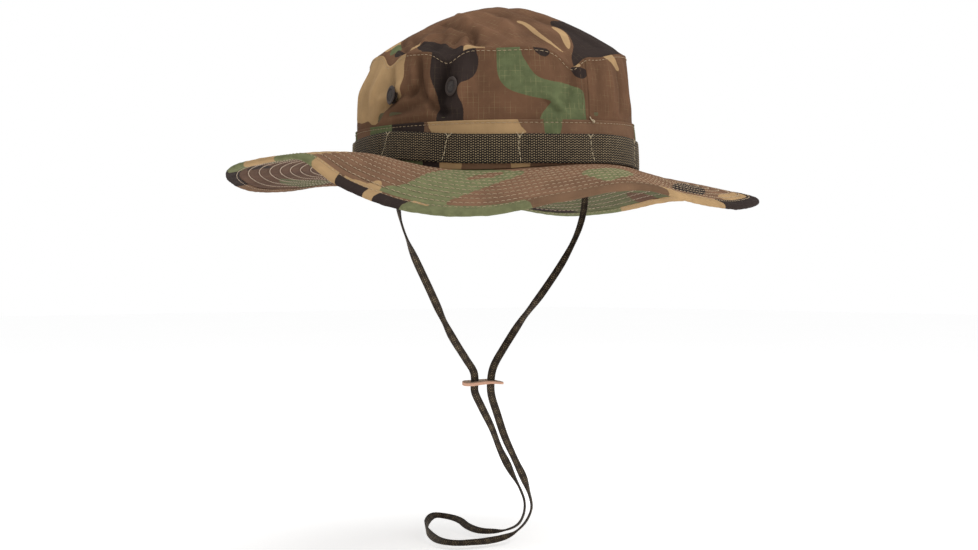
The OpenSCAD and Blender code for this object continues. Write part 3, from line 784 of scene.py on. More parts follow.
def make_slider():
    nu, nv = 56, 26
    L, Wd, T = 27.0, 13.0, 2.4
    cx, cy = -6.1, 5.5
    ac = np.array([math.cos(math.radians(-42)), math.sin(math.radians(-42)), 0])
    al = np.array([-ac[1], ac[0], 0])
    # an oval plate as rings from the slots' divide outwards would be hard to grid, so it is cut from a 2-D outline
    import bmesh
    bm = bmesh.new()
    def loop(pts):
        vs = [bm.verts.new((p[0], p[1], 0)) for p in pts]
        return [bm.edges.new((vs[i], vs[(i + 1) % len(vs)])) for i in range(len(vs))]
    def oval(a, b, n, px=2.6, ox=0.0):
        th = np.arange(n) * 2 * math.pi / n
        c, s = np.cos(th), np.sin(th)
        return np.stack([ox + a * np.sign(c) * np.abs(c) ** (2 / px), b * np.sign(s) * np.abs(s) ** (2 / px)], -1)
    edges = loop(oval(L / 2, Wd / 2, 72))
    for sx in (-5.2, 5.2):
        edges += loop(oval(3.9, 1.4, 28, 3.2, sx)[::-1])
    bmesh.ops.triangle_fill(bm, use_beauty=True, use_dissolve=False, edges=edges)
    for f in list(bm.faces):
        c = f.calc_center_median()
        for sx in (-5.2, 5.2):
            if abs((c.x - sx) / 3.9) ** 3.2 + abs(c.y / 1.4) ** 3.2 < 0.97:
                bm.faces.remove(f)
                break
    bmesh.ops.remove_doubles(bm, verts=bm.verts, dist=1e-5)
    bmesh.ops.subdivide_edges(bm, edges=[e for e in bm.edges if not e.is_boundary], cuts=1, use_grid_fill=False)
    bmesh.ops.triangulate(bm, faces=bm.faces)
    ext = bmesh.ops.extrude_face_region(bm, geom=list(bm.faces))
    vs = [g for g in ext["geom"] if isinstance(g, bmesh.types.BMVert)]
    for v in vs:
        v.co.z += T
    bmesh.ops.recalc_face_normals(bm, faces=bm.faces)
    hs = {}
    for v in bm.verts:
        x, y, z = v.co
        rim = (abs(x / (L / 2)) ** 2.6 + abs(y / (Wd / 2)) ** 2.6)
        edge = rim > 0.985
        zz = z - T / 2
        thin = 1 - 0.35 * min(1, max(0, (x - 2) / 11)) - 0.15 * (abs(y) / 6.5) ** 2
        zz *= thin
        tilt = math.radians(9 * (0.5 - x / 27))
        bow = 0.5 * math.sin(x / 27 * 2 * math.pi + 0.6) + 0.006 * y * y
        Y, Z = y * math.cos(tilt) - zz * math.sin(tilt), y * math.sin(tilt) + zz * math.cos(tilt)
        p = np.array([cx, cy, -138]) + ac * x + al * Y + np.array([0, 0, Z + bow])
        hs[v.index] = 0
        v.co = Vector(p * MM)
    me = bpy.data.meshes.new("slider_plate")
    bm.to_mesh(me)
    bm.free()
    me.materials.append(M_LEATHER)
    ob = bpy.data.objects.new("slider_plate", me)
    COL.objects.link(ob)
    co = np.zeros(len(me.vertices) * 3)
    me.vertices.foreach_get("co", co)
    co = co.reshape(-1, 3) / MM - [cx, cy, -138]
    x, y = co @ ac, co @ al
    rim = np.abs(x / (L / 2)) ** 2.6 + np.abs(y / (Wd / 2)) ** 2.6
    at = me.attributes.new("height", "FLOAT", "POINT")
    at.data.foreach_set("value", smooth(rim, 0.8, 0.98).astype(np.float32))
    bv = ob.modifiers.new("round", "BEVEL")
    bv.width = 0.0004
    bv.segments = 3
    bv.limit_method = "ANGLE"
    bv.angle_limit = math.radians(50)
    return ob


slider = make_slider()
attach(slider, "slider")
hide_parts("cord_slider")
path = [tuple(p * MM) for p in CP[::6, :3]]
if tuple(CP[-1, :3] * MM) != path[-1]:
    path.append(tuple(CP[-1, :3] * MM))

# ------------------------------------------------------------------ camouflage shapes
def chaikin(P, n=3):
    P = np.asarray(P, float)
    for _ in range(n):
        Q = np.roll(P, -1, 0)
        P = np.stack([P * 0.75 + Q * 0.25, P * 0.25 + Q * 0.75], 1).reshape(-1, 2)
    return P


def poly_sd(U, V, P, soft=3):
    """Signed distance to a rounded polygon, plus inside, mm."""
    P = chaikin(P, soft) if soft else np.asarray(P, float)
    out = np.full(U.shape, -12.0)
    m = (U > P[:, 0].min() - 12) & (U < P[:, 0].max() + 12) & (V > P[:, 1].min() - 12) & (V < P[:, 1].max() + 12)
    if not m.any():
        return out
    u, v = U[m], V[m]
    d = np.full(u.shape, 1e9)
    inside = np.zeros(u.shape, bool)
    Q = np.roll(P, -1, 0)
    for (ax, ay), (bx, by) in zip(P, Q):
        ex, ey = bx - ax, by - ay
        t = np.clip(((u - ax) * ex + (v - ay) * ey) / (ex * ex + ey * ey + 1e-12), 0, 1)
        d = np.minimum(d, np.hypot(u - ax - ex * t, v - ay - ey * t))
        if ay != by:
            c = ((ay > v) != (by > v)) & (u < (bx - ax) * (v - ay) / (by - ay) + ax)
            inside ^= c
    out[m] = np.clip(np.where(inside, d, -d), -12, 12)
    return out


def patches(P, seed, cover=(0.13, 0.30, 0.30)):
    """Signed distances of seeded blobs for the sides that the camera doesn't see."""
    W = P + 9 * np.stack([noise(P, 21, seed + 31), noise(P, 21, seed + 37), noise(P, 21, seed + 43)], -1)
    r = []
    for i, (sc, th) in enumerate(((46, cover[0]), (38, cover[1]), (34, cover[2]))):
        n = noise(W, sc, seed * 3 + i) + 0.35 * noise(W, sc / 2.3, seed * 3 + i + 50)
        r.append(np.clip((n - th) * sc * 0.42, -12, 12))
    return np.stack(r, -1)


def camo_attr(P3, U, V, polys, mask, seed, cover=(0.13, 0.30, 0.30)):
    """polys: list of (colour, points, rounding) in the U, V of the piece; mask is 1 where only they count."""
    base = patches(P3, seed, cover) - 26 * mask[..., None]
    base = np.clip(base, -12, 12)
    for item in polys:
        c, pts = item[0], item[1]
        soft = item[2] if len(item) > 2 else 3
        i = {"g": 0, "t": 1, "k": 2}[c]
        base[..., i] = np.maximum(base[..., i], poly_sd(U, V, pts, soft))
    return base


def sc(pts, k=K):
    return [(a * k, b) for a, b in pts]


SIDE_POLYS = [
    ("t", sc([(136, 73), (141, 76), (163, 76), (171, 72), (174, 62), (178.5, 65), (181.5, 71), (184, 71), (183, 63), (185, 55), (183.5, 44.5), (183, 39.5), (176.5, 38.5), (173, 32), (169, 26), (165.5, 26), (162, 29.5), (156, 28), (149, 30), (136, 31)]), 2),
    ("k", sc([(197.5, 76), (197.5, 69), (197.5, 62.5), (198, 53.5), (200, 44), (201, 37.5), (201.5, 30.5), (201, 18), (212, 18), (212.5, 29.5), (212, 34.5), (210.5, 39.5), (210, 44.5), (211.5, 47.5), (214.5, 49), (216.5, 51.5), (217.5, 56), (218, 61), (216.5, 67.5), (215.5, 76)]), 2),
    ("g", sc([(225, 76), (234, 76), (235, 64.5), (237, 59.5), (239, 54.5), (241, 51), (244.5, 49), (250.5, 47.5), (256, 46.5), (259.5, 44.8), (261.6, 42.5), (262.2, 38), (262.2, 22), (262.2, 14), (241, 14), (241.5, 22), (242, 27), (243.5, 30.5), (245.5, 33.5), (247, 36), (244, 37.5), (239, 38.5), (234, 40.5), (229.5, 43), (226.5, 47.5), (225, 54.5)]), 2),
    ("k", sc([(239.5, 70), (243.5, 69), (246.5, 67.8), (247.4, 65.5), (245.5, 63), (243, 63.6), (240.6, 66.5)]), 2),
    ("k", sc([(255.8, 57.5), (260.5, 58), (264, 57), (264.6, 54), (262.8, 50.8), (259.6, 50.8), (257, 54.3)]), 2),
    ("t", sc([(256.6, 57.2), (260, 60.5), (262, 58.6), (257, 56.6)]), 1),
    ("t", sc([(273, 67.8), (277.5, 69.5), (282, 69), (285.5, 65.5), (288.8, 58), (283.5, 60), (280, 64), (275.5, 65.8)]), 2),
]
BAND_POLYS = [
    ("g", sc([(165.5, 34), (180.5, 34), (180.5, 12), (165.5, 12)]), 1),
    ("k", sc([(180.5, 34), (196.5, 34), (196.5, 12), (180.5, 12)]), 1),
    ("t", sc([(196.5, 34), (231, 34), (233.5, 22), (237.5, 15.5), (222, 14.5), (205, 14), (199, 17)]), 1),
    ("g", sc([(243, 34), (250, 34), (251, 24), (249, 12), (244.5, 12), (243, 20)]), 1),
    ("g", sc([(303, 36), (330, 36), (330, 8), (303, 8)]), 1),
    ("g", sc([(175.5, 9), (196, 9), (196, -12), (175.5, -12)]), 1),
    ("k", sc([(196, 8), (203, 8), (203, -12), (196, -12)]), 1),
    ("t", sc([(203.2, 8), (213, 8), (211, -12), (203.2, -12)]), 1),
    ("t", sc([(230, 7), (238.5, 7), (237, -12), (231, -12)]), 1),
]
DOME_R = 88.0


def polar(pts):
    return [(DOME_R * q * math.cos(math.radians(a)), DOME_R * q * math.sin(math.radians(a))) for a, q in pts]


DOME_POLYS = [
    ("g", polar([(168.5, .97), (171, .94), (173.5, .91), (172, .87), (165, .84), (158, .80), (160, .86), (165, .91)]), 1),
    ("t", polar([(164, .97), (165.5, .90), (163, .83), (156, .78), (150, .84), (156, .93)]), 1),
    ("k", polar([(172.5, .955), (177, .945), (178.5, .90), (174.5, .885), (171.5, .91)]), 1),
    ("t", polar([(180.5, .95), (181.5, .91), (180, .85), (184, .835), (185.5, .875), (188, .93), (185, .965)]), 1),
    ("k", polar([(187, .95), (186, .89), (188, .86), (199, .85), (204.5, .91), (210, .93), (211.5, .98), (211, 1.04), (196.5, 1.04), (192, .99)]), 1),
    ("t", polar([(210.5, .955), (214, .945), (220, .955), (220.5, 1.04), (212, 1.04)]), 1),
    ("t", polar([(240.5, .58), (245, .565), (249.5, .59), (250.2, .68), (251.2, .78), (255.5, .87), (257.6, .918), (253.4, .885), (249.2, .83), (247.0, .75), (245.0, .65)]), 2),
    ("t", polar([(267.5, .63), (270.5, .60), (275.2, .62), (274.5, .70), (269, .79), (263.5, .87), (260.6, .90), (260.8, .85), (263.2, .785), (266.9, .715)]), 2),
    ("k", polar([(279, .53), (283, .50), (292, .53), (306, .56), (322, .60), (336, .72), (338, .88), (330, .93), (306, .915), (299, .96), (294, 1.04), (276.5, 1.04), (264, 1.04), (257.6, 1.02), (258.6, .95), (263.5, .90), (269.5, .81), (274.8, .71), (276.8, .62), (273.8, .585)]), 2),
]
BR = 91.0


def bpol(pts):
    return [((BR + s) * math.cos(math.radians(a)), (BR + s) * math.sin(math.radians(a))) for a, s in pts]


TOP_POLYS = [
    ("g", bpol([(202.5, 74), (203, 67), (205.5, 60.5), (206.5, 50), (206.5, 37.5), (207, 25.5), (209, 7.5), (213, 0), (217.5, -4), (226.5, 4), (236, 14), (233, 24.5), (227.5, 33), (223, 46.5), (219.5, 58.5), (217, 68), (217.5, 74), (220.5, 78), (221, 86), (203.5, 86)]), 2),
    ("t", bpol([(200.0, 86), (199.8, 78), (200.0, 70.5), (200.8, 63.5), (201.8, 63.5), (203.2, 71), (202.9, 77), (202.8, 86)]), 1),
    ("t", bpol([(196.5, 73), (199.2, 70.5), (201.2, 72.5), (201.2, 76), (198.5, 75.5)]), 1),
    ("k", bpol([(204.0, 86), (204.2, 80.5), (206.5, 79), (208.5, 81), (209, 86)]), 1),
    ("t", bpol([(226, 86), (227, 81), (231, 79.5), (235, 81), (236, 86)]), 1),
    ("g", bpol([(247.5, 43), (251.5, 36.5), (259, 32.5), (265, 30), (262.5, 49), (256, 62.5), (251.5, 68), (249.6, 66), (249.6, 61), (248.6, 53.5)]), 2),
    ("k", bpol([(277, 49), (272, 57), (267.8, 65.5), (269, 70), (273.5, 70.5), (280.5, 66), (287, 57.5), (293, 51), (304, 41), (297, 37), (287, 40)]), 2),
    ("t", bpol([(287, 65), (297, 61), (310, 64), (319, 70), (315, 75), (299, 75.5), (288, 77.5), (285, 72)]), 2),
    ("g", bpol([(268, 80), (276, 74), (284, 76), (288, 84), (278, 88), (268, 88)]), 2),
    ("g", bpol([(336, 60), (346, 56), (356, 64), (352, 78), (340, 76)]), 2),
]
TOP_CUT = bpol([(216.8, 30), (220, 17), (226, 7.5), (228.5, 11), (227, 18), (222.5, 26)])
UNDER_POLYS = [
    ("g", bpol([(129, 53), (121, 49), (112, 49), (104, 49.5), (97, 53), (94.5, 64.5), (95, 72), (102, 72), (109, 66), (118, 61)]), 2),
    ("k", bpol([(151, 71), (160.5, 71.5), (159, 64), (153.5, 54.5), (149.5, 55.5), (152, 63), (149.5, 67.5)]), 2),
    ("g", bpol([(-16, 45), (0, 40), (20, 38), (42, 40), (62, 46), (66, 60), (64, 86), (20, 86), (-12, 86)]), 2),
    ("k", bpol([(40, 80), (38, 70), (33, 64), (26, 68), (22, 76), (25, 82), (33.5, 85)]), 2),
    ("g", bpol([(163, 84), (166, 60), (172, 58), (176, 66), (175, 84)]), 2),
]
UNDER_CUT = bpol([(6.5, 53), (2, 59.5), (0, 72.5), (1, 82), (7, 76)])

# ------------------------------------------------------------------ crown
hat = []


def crown_half(name, a0, a1, node, seed):
    C, R = 420, 74
    A = np.linspace(a0, a1, C)
    A[0] += 0.1
    A[-1] -= 0.1
    zb, zt = np.maximum(seam_z(A) + 1.5, 0), tip_z(A) - 0.1
    T = np.linspace(0, 1, R)[:, None]
    Z = zb[None] + (zt - zb)[None] * T
    AA = np.broadcast_to(A[None], Z.shape)
    O = crown(AA, Z)
    I = crown(AA, Z, -CLOTH)
    hole = []
    for va, vz in ((207.5, 45.5), (179, 43), (332.5, 45.5), (1, 43)):
        hole.append(np.hypot(turn(AA, va) * K, Z - vz))
    a3 = AA % 360
    mask = smooth(a3, 132, 139) * (1 - smooth(a3, 312, 322))
    U = a3 * K
    at = camo_attr(O, U, Z, SIDE_POLYS, mask, seed)
    if name == "side_right":
        # nothing runs across the seam
        at2 = camo_attr(O, U, Z, SIDE_POLYS[-1:], mask, seed)
        at = at2
    else:
        at = camo_attr(O, U, Z, SIDE_POLYS[:-1], mask, seed)
    f = folds(AA, Z)
    # painted light and shade: the fold offset darkens valleys and lightens ridges, painted shade over the crown's left
    # part, a painted shadow along the band's top edge and painted shade under the tip seam
    painted_light_and_tone = np.clip(f * 0.3, -0.85, 0.4) - 0.3 * bump(AA, 190, 8)
    painted_light_and_tone = painted_light_and_tone - 0.25 * np.exp(-((Z - band_z(AA)) / 1.8) ** 2) - 0.1 * np.exp(-((tip_z(AA) - Z) / 1.0) ** 2)
    uvw = np.stack([U, Z, painted_light_and_tone], -1)
    ob = shell(name, O, I, False, {"camo": at, "uvw": uvw}, [M_SIDE, M_INSIDE])
    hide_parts(node)
    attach(ob, "hat")
    hat.append(ob)
    return ob


side_l = crown_half("side_left", 84, 264, "crown_side_left", 1)
side_r = crown_half("side_right", 264, 444, "crown_side_right", 2)


def crown_tip():
    C, R = 600, 86
    A = np.arange(C) * 360 / C
    q = np.concatenate([1 - np.linspace(0, 0.06, 10)[:-1], np.linspace(0.94, 0.02, R - 9)])
    AA, Q = np.meshgrid(A, q)
    O = dome(AA, Q, 0.2)
    I = dome(AA, Q, 0.2 - CLOTH, 0.5)
    n = (R) * C
    R = len(q)
    n = R * C
    X, Y = DOME_R * Q * np.cos(np.radians(AA)), DOME_R * Q * np.sin(np.radians(AA))
    toward = O[..., 0] * BACK[0] + O[..., 1] * BACK[1]
    mask = smooth(toward, -14, -4)
    at = camo_attr(O, X, Y, DOME_POLYS, mask, 3)
    flat = dome(AA, Q, 0.2, 0, False)
    # painted light and shade: fold height darkens the dome's hollows and lightens its ridges, the whole top is lifted a
    # little as painted light from above, and painted shade where the cloth rolls into the seam
    painted_light_and_tone = np.clip((O[..., 2] - flat[..., 2] + 2.2 * np.exp(-((O[..., 0] + 28) ** 2 + (O[..., 1] - 22) ** 2) / 24 ** 2)) * 0.3, -0.75, 0.35) + 0.12 - 0.18 * np.exp(-((1 - Q) / 0.012) ** 2)
    uvw = np.stack([O[..., 0], O[..., 1], painted_light_and_tone], -1)
    V = np.concatenate([O.reshape(-1, 3), I.reshape(-1, 3), O[-1].mean(0)[None], I[-1].mean(0)[None]])
    k = (R - 1) * C
    c = np.arange(C)
    d = (c + 1) % C
    F = [list(f) for f in quads(R, C, True, 0)] + [list(f) for f in quads(R, C, True, n, True)]
    F += [list(f) for f in np.stack([d, c, n + c, n + d], -1)]
    F += [[k + x, k + y, 2 * n] for x, y in zip(c, d)] + [[n + k + y, n + k + x, 2 * n + 1] for x, y in zip(c, d)]
    nq = (R - 1) * C
    midx = np.zeros(len(F), int)
    midx[nq:2 * nq] = 1
    midx[-C:] = 1
    A1 = {"camo": np.concatenate([at.reshape(-1, 3)] * 2 + [at[-1, :1], at[-1, :1]]),
          "uvw": np.concatenate([uvw.reshape(-1, 3)] * 2 + [uvw[-1, :1], uvw[-1, :1]])}
    ob = build("tip", V, np.array(F, dtype=object), A1, [M_DOME, M_INSIDE], midx)
    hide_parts("crown_top_panel")
    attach(ob, "hat")
    return ob


tip = crown_tip()


def ride_hat(ob, node=None):
    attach(ob, "hat")
    if node:
        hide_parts(*([node] if isinstance(node, str) else node))
    return ob


# ring of cloth on the crown wall between two heights
def wall(name, z0, z1, off, thick, mats, R=10, C=480, fold=False, ripple=None, attrs=None, a0=0.0, a1=360.0, wrap=True):
    A = a0 + (a1 - a0) * (np.arange(C) / (C if wrap else C - 1))
    T = np.linspace(0, 1, R)[:, None]
    Z = z0(A)[None] + (z1(A) - z0(A))[None] * T
    AA = np.broadcast_to(A[None], Z.shape)
    rp = ripple(AA, Z, T) if ripple else 0.0
    O = crown(AA, Z, off + rp, fold)
    I = crown(AA, Z, off - thick + (rp if thick > 1.1 else 0.0), fold)
    at = {"uvw": np.stack(np.broadcast_arrays(AA * K, Z, 0 * Z), -1)}
    if attrs:
        at.update(attrs(AA, Z, T, O))
    return shell(name, O, I, wrap, at, mats), A, Z


def band():
    def ripple(A, Z, T):
        top = band_z(A)
        return 0.25 * noise(np.stack(np.broadcast_arrays(*foot(A), Z * 0.2), -1), 7, 21) * (T > 0) + 0.3 * np.exp(-((top - Z - 1.8) / 0.7) ** 2) * -1 + 0.25 * np.exp(-((top - Z) / 1.0) ** 2)

    def at(A, Z, T, O):
        a3 = A % 360
        mask = smooth(a3, 150, 160) * (1 - smooth(a3, 322, 334))
        cam_ = camo_attr(O, a3 * K, Z, BAND_POLYS, mask, 4)
        # lighter along the band's top edge, and a painted shadow of the webbing just above the webbing's top
        painted_light_and_tone = 0.08 * np.exp(-((band_z(A) - Z) / 0.8) ** 2) - 0.25 * np.exp(-((Z - web_top(A)) / 1.5) ** 2)
        return {"camo": cam_, "uvw": np.stack([A * K, Z, painted_light_and_tone], -1)}
    ob, A, Z = wall("band", lambda A: clear_z(A, 0, 1.2), band_z, GAP + BAND_T, BAND_T, [M_BAND], 40, 700, False, ripple, at)
    return ride_hat(ob, "outer_band")


band_ob = band()
TACKS = [25.5 + 30 * i for i in range(12)]


def tack_pull(A):
    d = np.min(np.abs(np.stack([turn(A, c) for c in TACKS])), 0) * K
    return d


def webbing():
    pu, pv = 2.7, 1.5

    def weave(A, Z, T):
        u = np.asarray(A) * K
        v = T * WEB_H + 0 * u
        i = np.floor(u / (pu / 2) + 1e-6)
        rows = 0.5 + 0.5 * np.cos(2 * math.pi * (v / pv + 0.3 * (np.cos(2 * math.pi * u / pu) < 0)))
        return np.clip(rows, 0, 1) ** 0.8 * (0.25 + 0.75 * np.abs(np.cos(2 * math.pi * u / pu)))

    def ripple(A, Z, T):
        d = tack_pull(A)
        bulge = (0.45 * (1 - np.exp(-(d / 4) ** 2)) + 0.3 * np.sin(np.clip(d / 23.5, 0, 1) * math.pi) * (1 - 0.5 * T)) * (1 - 0.6 * bump(A, 318, 14))
        edge = -0.25 * (np.exp(-(T * WEB_H / 0.7) ** 2) + np.exp(-((1 - T) * WEB_H / 0.7) ** 2))
        return bulge + 0.30 * (weave(A, Z, T) - 0.4) + edge + 0.25 * noise(np.stack(np.broadcast_arrays(*foot(A), Z * 0.4), -1), 11, 23)

    def at(A, Z, T, O):
        h = weave(A, Z, T)
        d = tack_pull(A)
        # painted shade where the tacks pinch the webbing and along its top and bottom edges, plus random tone
        w = -0.25 * np.exp(-(d / 2.5) ** 2) - 0.3 * (np.exp(-(T * WEB_H / 0.9) ** 2) + 0.7 * np.exp(-((1 - T) * WEB_H / 0.9) ** 2)) + 0 * d
        P = np.stack(np.broadcast_arrays(*foot(A), Z), -1)
        w = w + 0.22 * noise(P, 14, 24)
        return {"height": h, "uvw": np.stack(np.broadcast_arrays(A * K, T * WEB_H, w), -1)}
    ob, A, Z = wall("webbing", web_z, web_top, 2 * GAP + BAND_T + WEB_T * 0.8, WEB_T * 0.8, [M_WEB], 58, 2000, False, ripple, at)
    return ride_hat(ob, "branch_loop_webbing")


web_ob = webbing()

# tacks
tk = Stitches()
for i, c in enumerate(TACKS):
    n = 40
    t = np.linspace(0.02, 0.98, n)
    lean_t = (0.9, -0.7, 0.5, -0.4, 0.3, -5.5, -3.2, 0.4, 2.6, 1.6, -0.3, 0.6)[i]
    a = c + (0, 0, 0, 0, 0, 2.0, 0.4, -1.9, -2.2, -1.0, 0, 0)[i] + lean_t * (0.5 - t) + 0.25 * np.sin(t * 7 + i)
    z = web_z(a) + (web_top(a) - web_z(a)) * t
    P = crown(a, z, 2 * GAP + BAND_T + WEB_T + 0.0, False)
    x, y = foot(a, 1.0)
    x0, y0 = foot(a, 0.0)
    N = np.stack([x - x0, y - y0, 0 * x], -1)
    tk.row(P, N, 2.9, 2.8, 0.46, 0.36, 0.12, seed=i, jitter=0.05)
    tk.row(P + np.array([0, 0, 1.4]) * (t < 0.9)[:, None] + N * -0.1, N, 2.9, 0.9, 0.3, 0.25, 0.05, seed=i + 50, jitter=0.05)
    # loose ends at the top
    for sgn in (() if i in (4, 10) else (-1, 1)):
        tt = np.linspace(0, 1, 9)
        ln = (2.6, 3.2, 2.2)[i % 3]
        aa = a[-3] + sgn * (0.2 + 1.25 * tt ** 1.3) * (1.0 if sgn > 0 else 0.8)
        zz = z[-4] + ln * tt - 0.6
        Pt = crown(aa, zz, 2 * GAP + BAND_T + WEB_T + 0.55 + 0.25 * np.sin(tt * 3), False)
        tk.tube(Pt, 0.15)
tack_ob = ride_hat(tk.make("tacks", M_THREAD_W), "webbing_tacks")

# sweatband with its label
sw_off = -CLOTH - GAP
sweat, _, _ = wall("sweat", lambda a: seam_z(a) + 0.5, lambda a: seam_z(a) + 32.5, sw_off, 1.0, [M_OLIVE], 30, 420, False,
                   lambda A, Z, T: np.minimum(0.0, -0.12 + 0.1 * np.cos(T * 60)) * (T > 0.04),
                   lambda A, Z, T, O: {"uvw": np.stack(np.broadcast_arrays(A * K, Z, -0.2 * (T < 0.05) + 0.1 * (T > 0.97)), -1)})
ride_hat(sweat, "sweatband")
lab, _, _ = wall("label", lambda a: 8 + 0 * a, lambda a: 24 + 0 * a, sw_off - 1.0 - GAP, 0.3, [M_LABEL], 12, 24, False, None, None, 84.0, 102.0, False)
ride_hat(lab, "size_label")


def tape(name, fn0, fn1, C, a0, a1, wrap, node):
    A = a0 + (a1 - a0) * (np.arange(C) / (C if wrap else C - 1))
    O, I = fn0(A), fn1(A)
    R = O.shape[0]
    t = np.linspace(0, 8, R)[:, None] + 0 * A[None]
    ob = shell(name, O, I, wrap, {"uvw": np.stack(np.broadcast_arrays(A[None] * K, t, 0 * t), -1)}, [M_OLIVE])
    return ride_hat(ob, node)


def tip_tape(o, i):
    def fn(A):
        rows = [crown(A, tip_z(A) - 7, -o), crown(A, tip_z(A) - 5, -o), crown(A, tip_z(A) - 3.2, -o), crown(A, tip_z(A) - 1.8, -o - 0.1), dome(A, 1 + 0 * A, -0.6, o + 0.1),
                dome(A, 0.985 + 0 * A, -0.8 - 0.4 * i, o + 0.2), dome(A, 0.965 + 0 * A, -1.0 - 0.4 * i, o + 0.2), dome(A, 0.94 + 0 * A, -1.2 - 0.4 * i, o + 0.2)]
        return np.stack(rows)
    return fn


tape("tape_tip", tip_tape(CLOTH + 0.75, 1), tip_tape(CLOTH + 0.25, 0), 300, 0, 360, True, "top_seam_tape")
for nm, c, nd in (("tape_front", 264, "side_seam_tape_front"), ("tape_back", 84, "side_seam_tape_back")):
    def side_tape(o, c=c):
        def fn(A):
            T = np.linspace(0, 1, 14)[:, None]
            z0 = 40.0
            Z = z0 + (tip_z(A)[None] - 8.5 - z0) * T
            return crown(np.broadcast_to(A[None], Z.shape), Z, -o)
        return fn
    tape(nm, side_tape(CLOTH + 0.95), side_tape(CLOTH + 0.5), 10, c - 3.2, c + 3.2, False, nd)

# ------------------------------------------------------------------ brim
ROWS = [9.2 + 6.5 * i for i in range(10)]
BW_EDGE = BRIM - 8.0


def quilt(s):
    s = np.asarray(s, float)
    g = np.zeros(s.shape)
    for r in ROWS:
        g -= 0.5 * np.exp(-((s - r) / 0.8) ** 2)
    ph = (s - ROWS[0]) / 6.5
    g += 0.36 * np.sin(math.pi * (ph % 1)) ** 0.8 * ((s > 3) & (s < 74))
    return g


def brim_cloth(name, a0, a1, top, node, seed, mat):
    C = 420
    S = np.concatenate([np.linspace(-0.6, 8, 8)[:-1], np.arange(8, 80.0, 0.8), [80.2]])
    A = np.linspace(a0 + 0.1, a1 - 0.1, C)
    SS, AA = np.meshgrid(S, A, indexing="ij")
    P0 = brim(AA, SS)
    P = np.stack([P0[..., 0], P0[..., 1], 0 * SS], -1)
    lump = 0.35 * noise(P, 16, 11 + (0 if top else 3)) + 0.18 * noise(P, 6, 12)
    g = quilt(SS) + lump * 0.6 * smooth(SS, 2, 10) * (1 - smooth(SS, 70, 76))
    d = 1 if top else -1
    O = brim(AA, SS, d * (UP1 + g))
    I = brim(AA, SS, d * (UP1 - 0.6 + 0 * g))
    a3 = AA % 360
    X, Y = (BR + SS) * np.cos(np.radians(AA)), (BR + SS) * np.sin(np.radians(AA))
    if top:
        mask = smooth(a3, 184, 193) * (1 - smooth(a3, 347, 356))
        at = camo_attr(O, X, Y, TOP_POLYS, mask, seed)
        cut = poly_sd(X, Y, TOP_CUT, 2)
    else:
        m1 = smooth(a3, 70, 84) * (1 - smooth(a3, 190, 200))
        m2 = np.maximum(1 - smooth(a3, 66, 74), smooth(a3, 336, 346))
        mask = np.maximum(m1, m2)
        at = camo_attr(O, X, Y, UNDER_POLYS, mask, seed)
        cut = poly_sd(X, Y, UNDER_CUT, 2)
    at[..., 0] = np.minimum(at[..., 0], -cut)
    # painted light and shade: darker in the quilting grooves and lighter on the puffs, painted shade at the crown's
    # foot and beside the binding's edge
    painted_light_and_tone = 0.32 * g * 0.8 + 0.05
    painted_light_and_tone = np.clip(painted_light_and_tone, -0.3, 0.14) - 0.25 * np.exp(-((SS) / 2.5) ** 2) - 0.12 * np.exp(-((SS - BW_EDGE) / 1.2) ** 2)
    uvw = np.stack([O[..., 0] * 0.94 + O[..., 1] * 0.34, O[..., 1] * 0.94 - O[..., 0] * 0.34, painted_light_and_tone], -1)
    ob = shell(name, O, I, False, {"camo": at, "uvw": uvw}, [mat], flip=top)
    return ride_hat(ob, node)


bt_l = brim_cloth("brim_top_left", 84, 264, True, "brim_upper_left", 5, M_TOP)
bt_r = brim_cloth("brim_top_right", 264, 444, True, "brim_upper_right", 6, M_TOP)
bu_l = brim_cloth("brim_under_left", 84, 264, False, "brim_lower_left", 7, M_UNDER)
bu_r = brim_cloth("brim_under_right", 264, 444, False, "brim_lower_right", 8, M_UNDER)

# stiff lining between the two
S = np.linspace(-0.5, 80, 30)
AA, SS = np.meshgrid(np.arange(240) * 1.5, S)
lin_ob = shell("brim_lining", brim(AA, SS, 0.35), brim(AA, SS, -0.35), True, {"uvw": np.stack([AA * K, SS, 0 * SS], -1)}, [M_LINING], flip=True)
ride_hat(lin_ob, "brim_interlining")


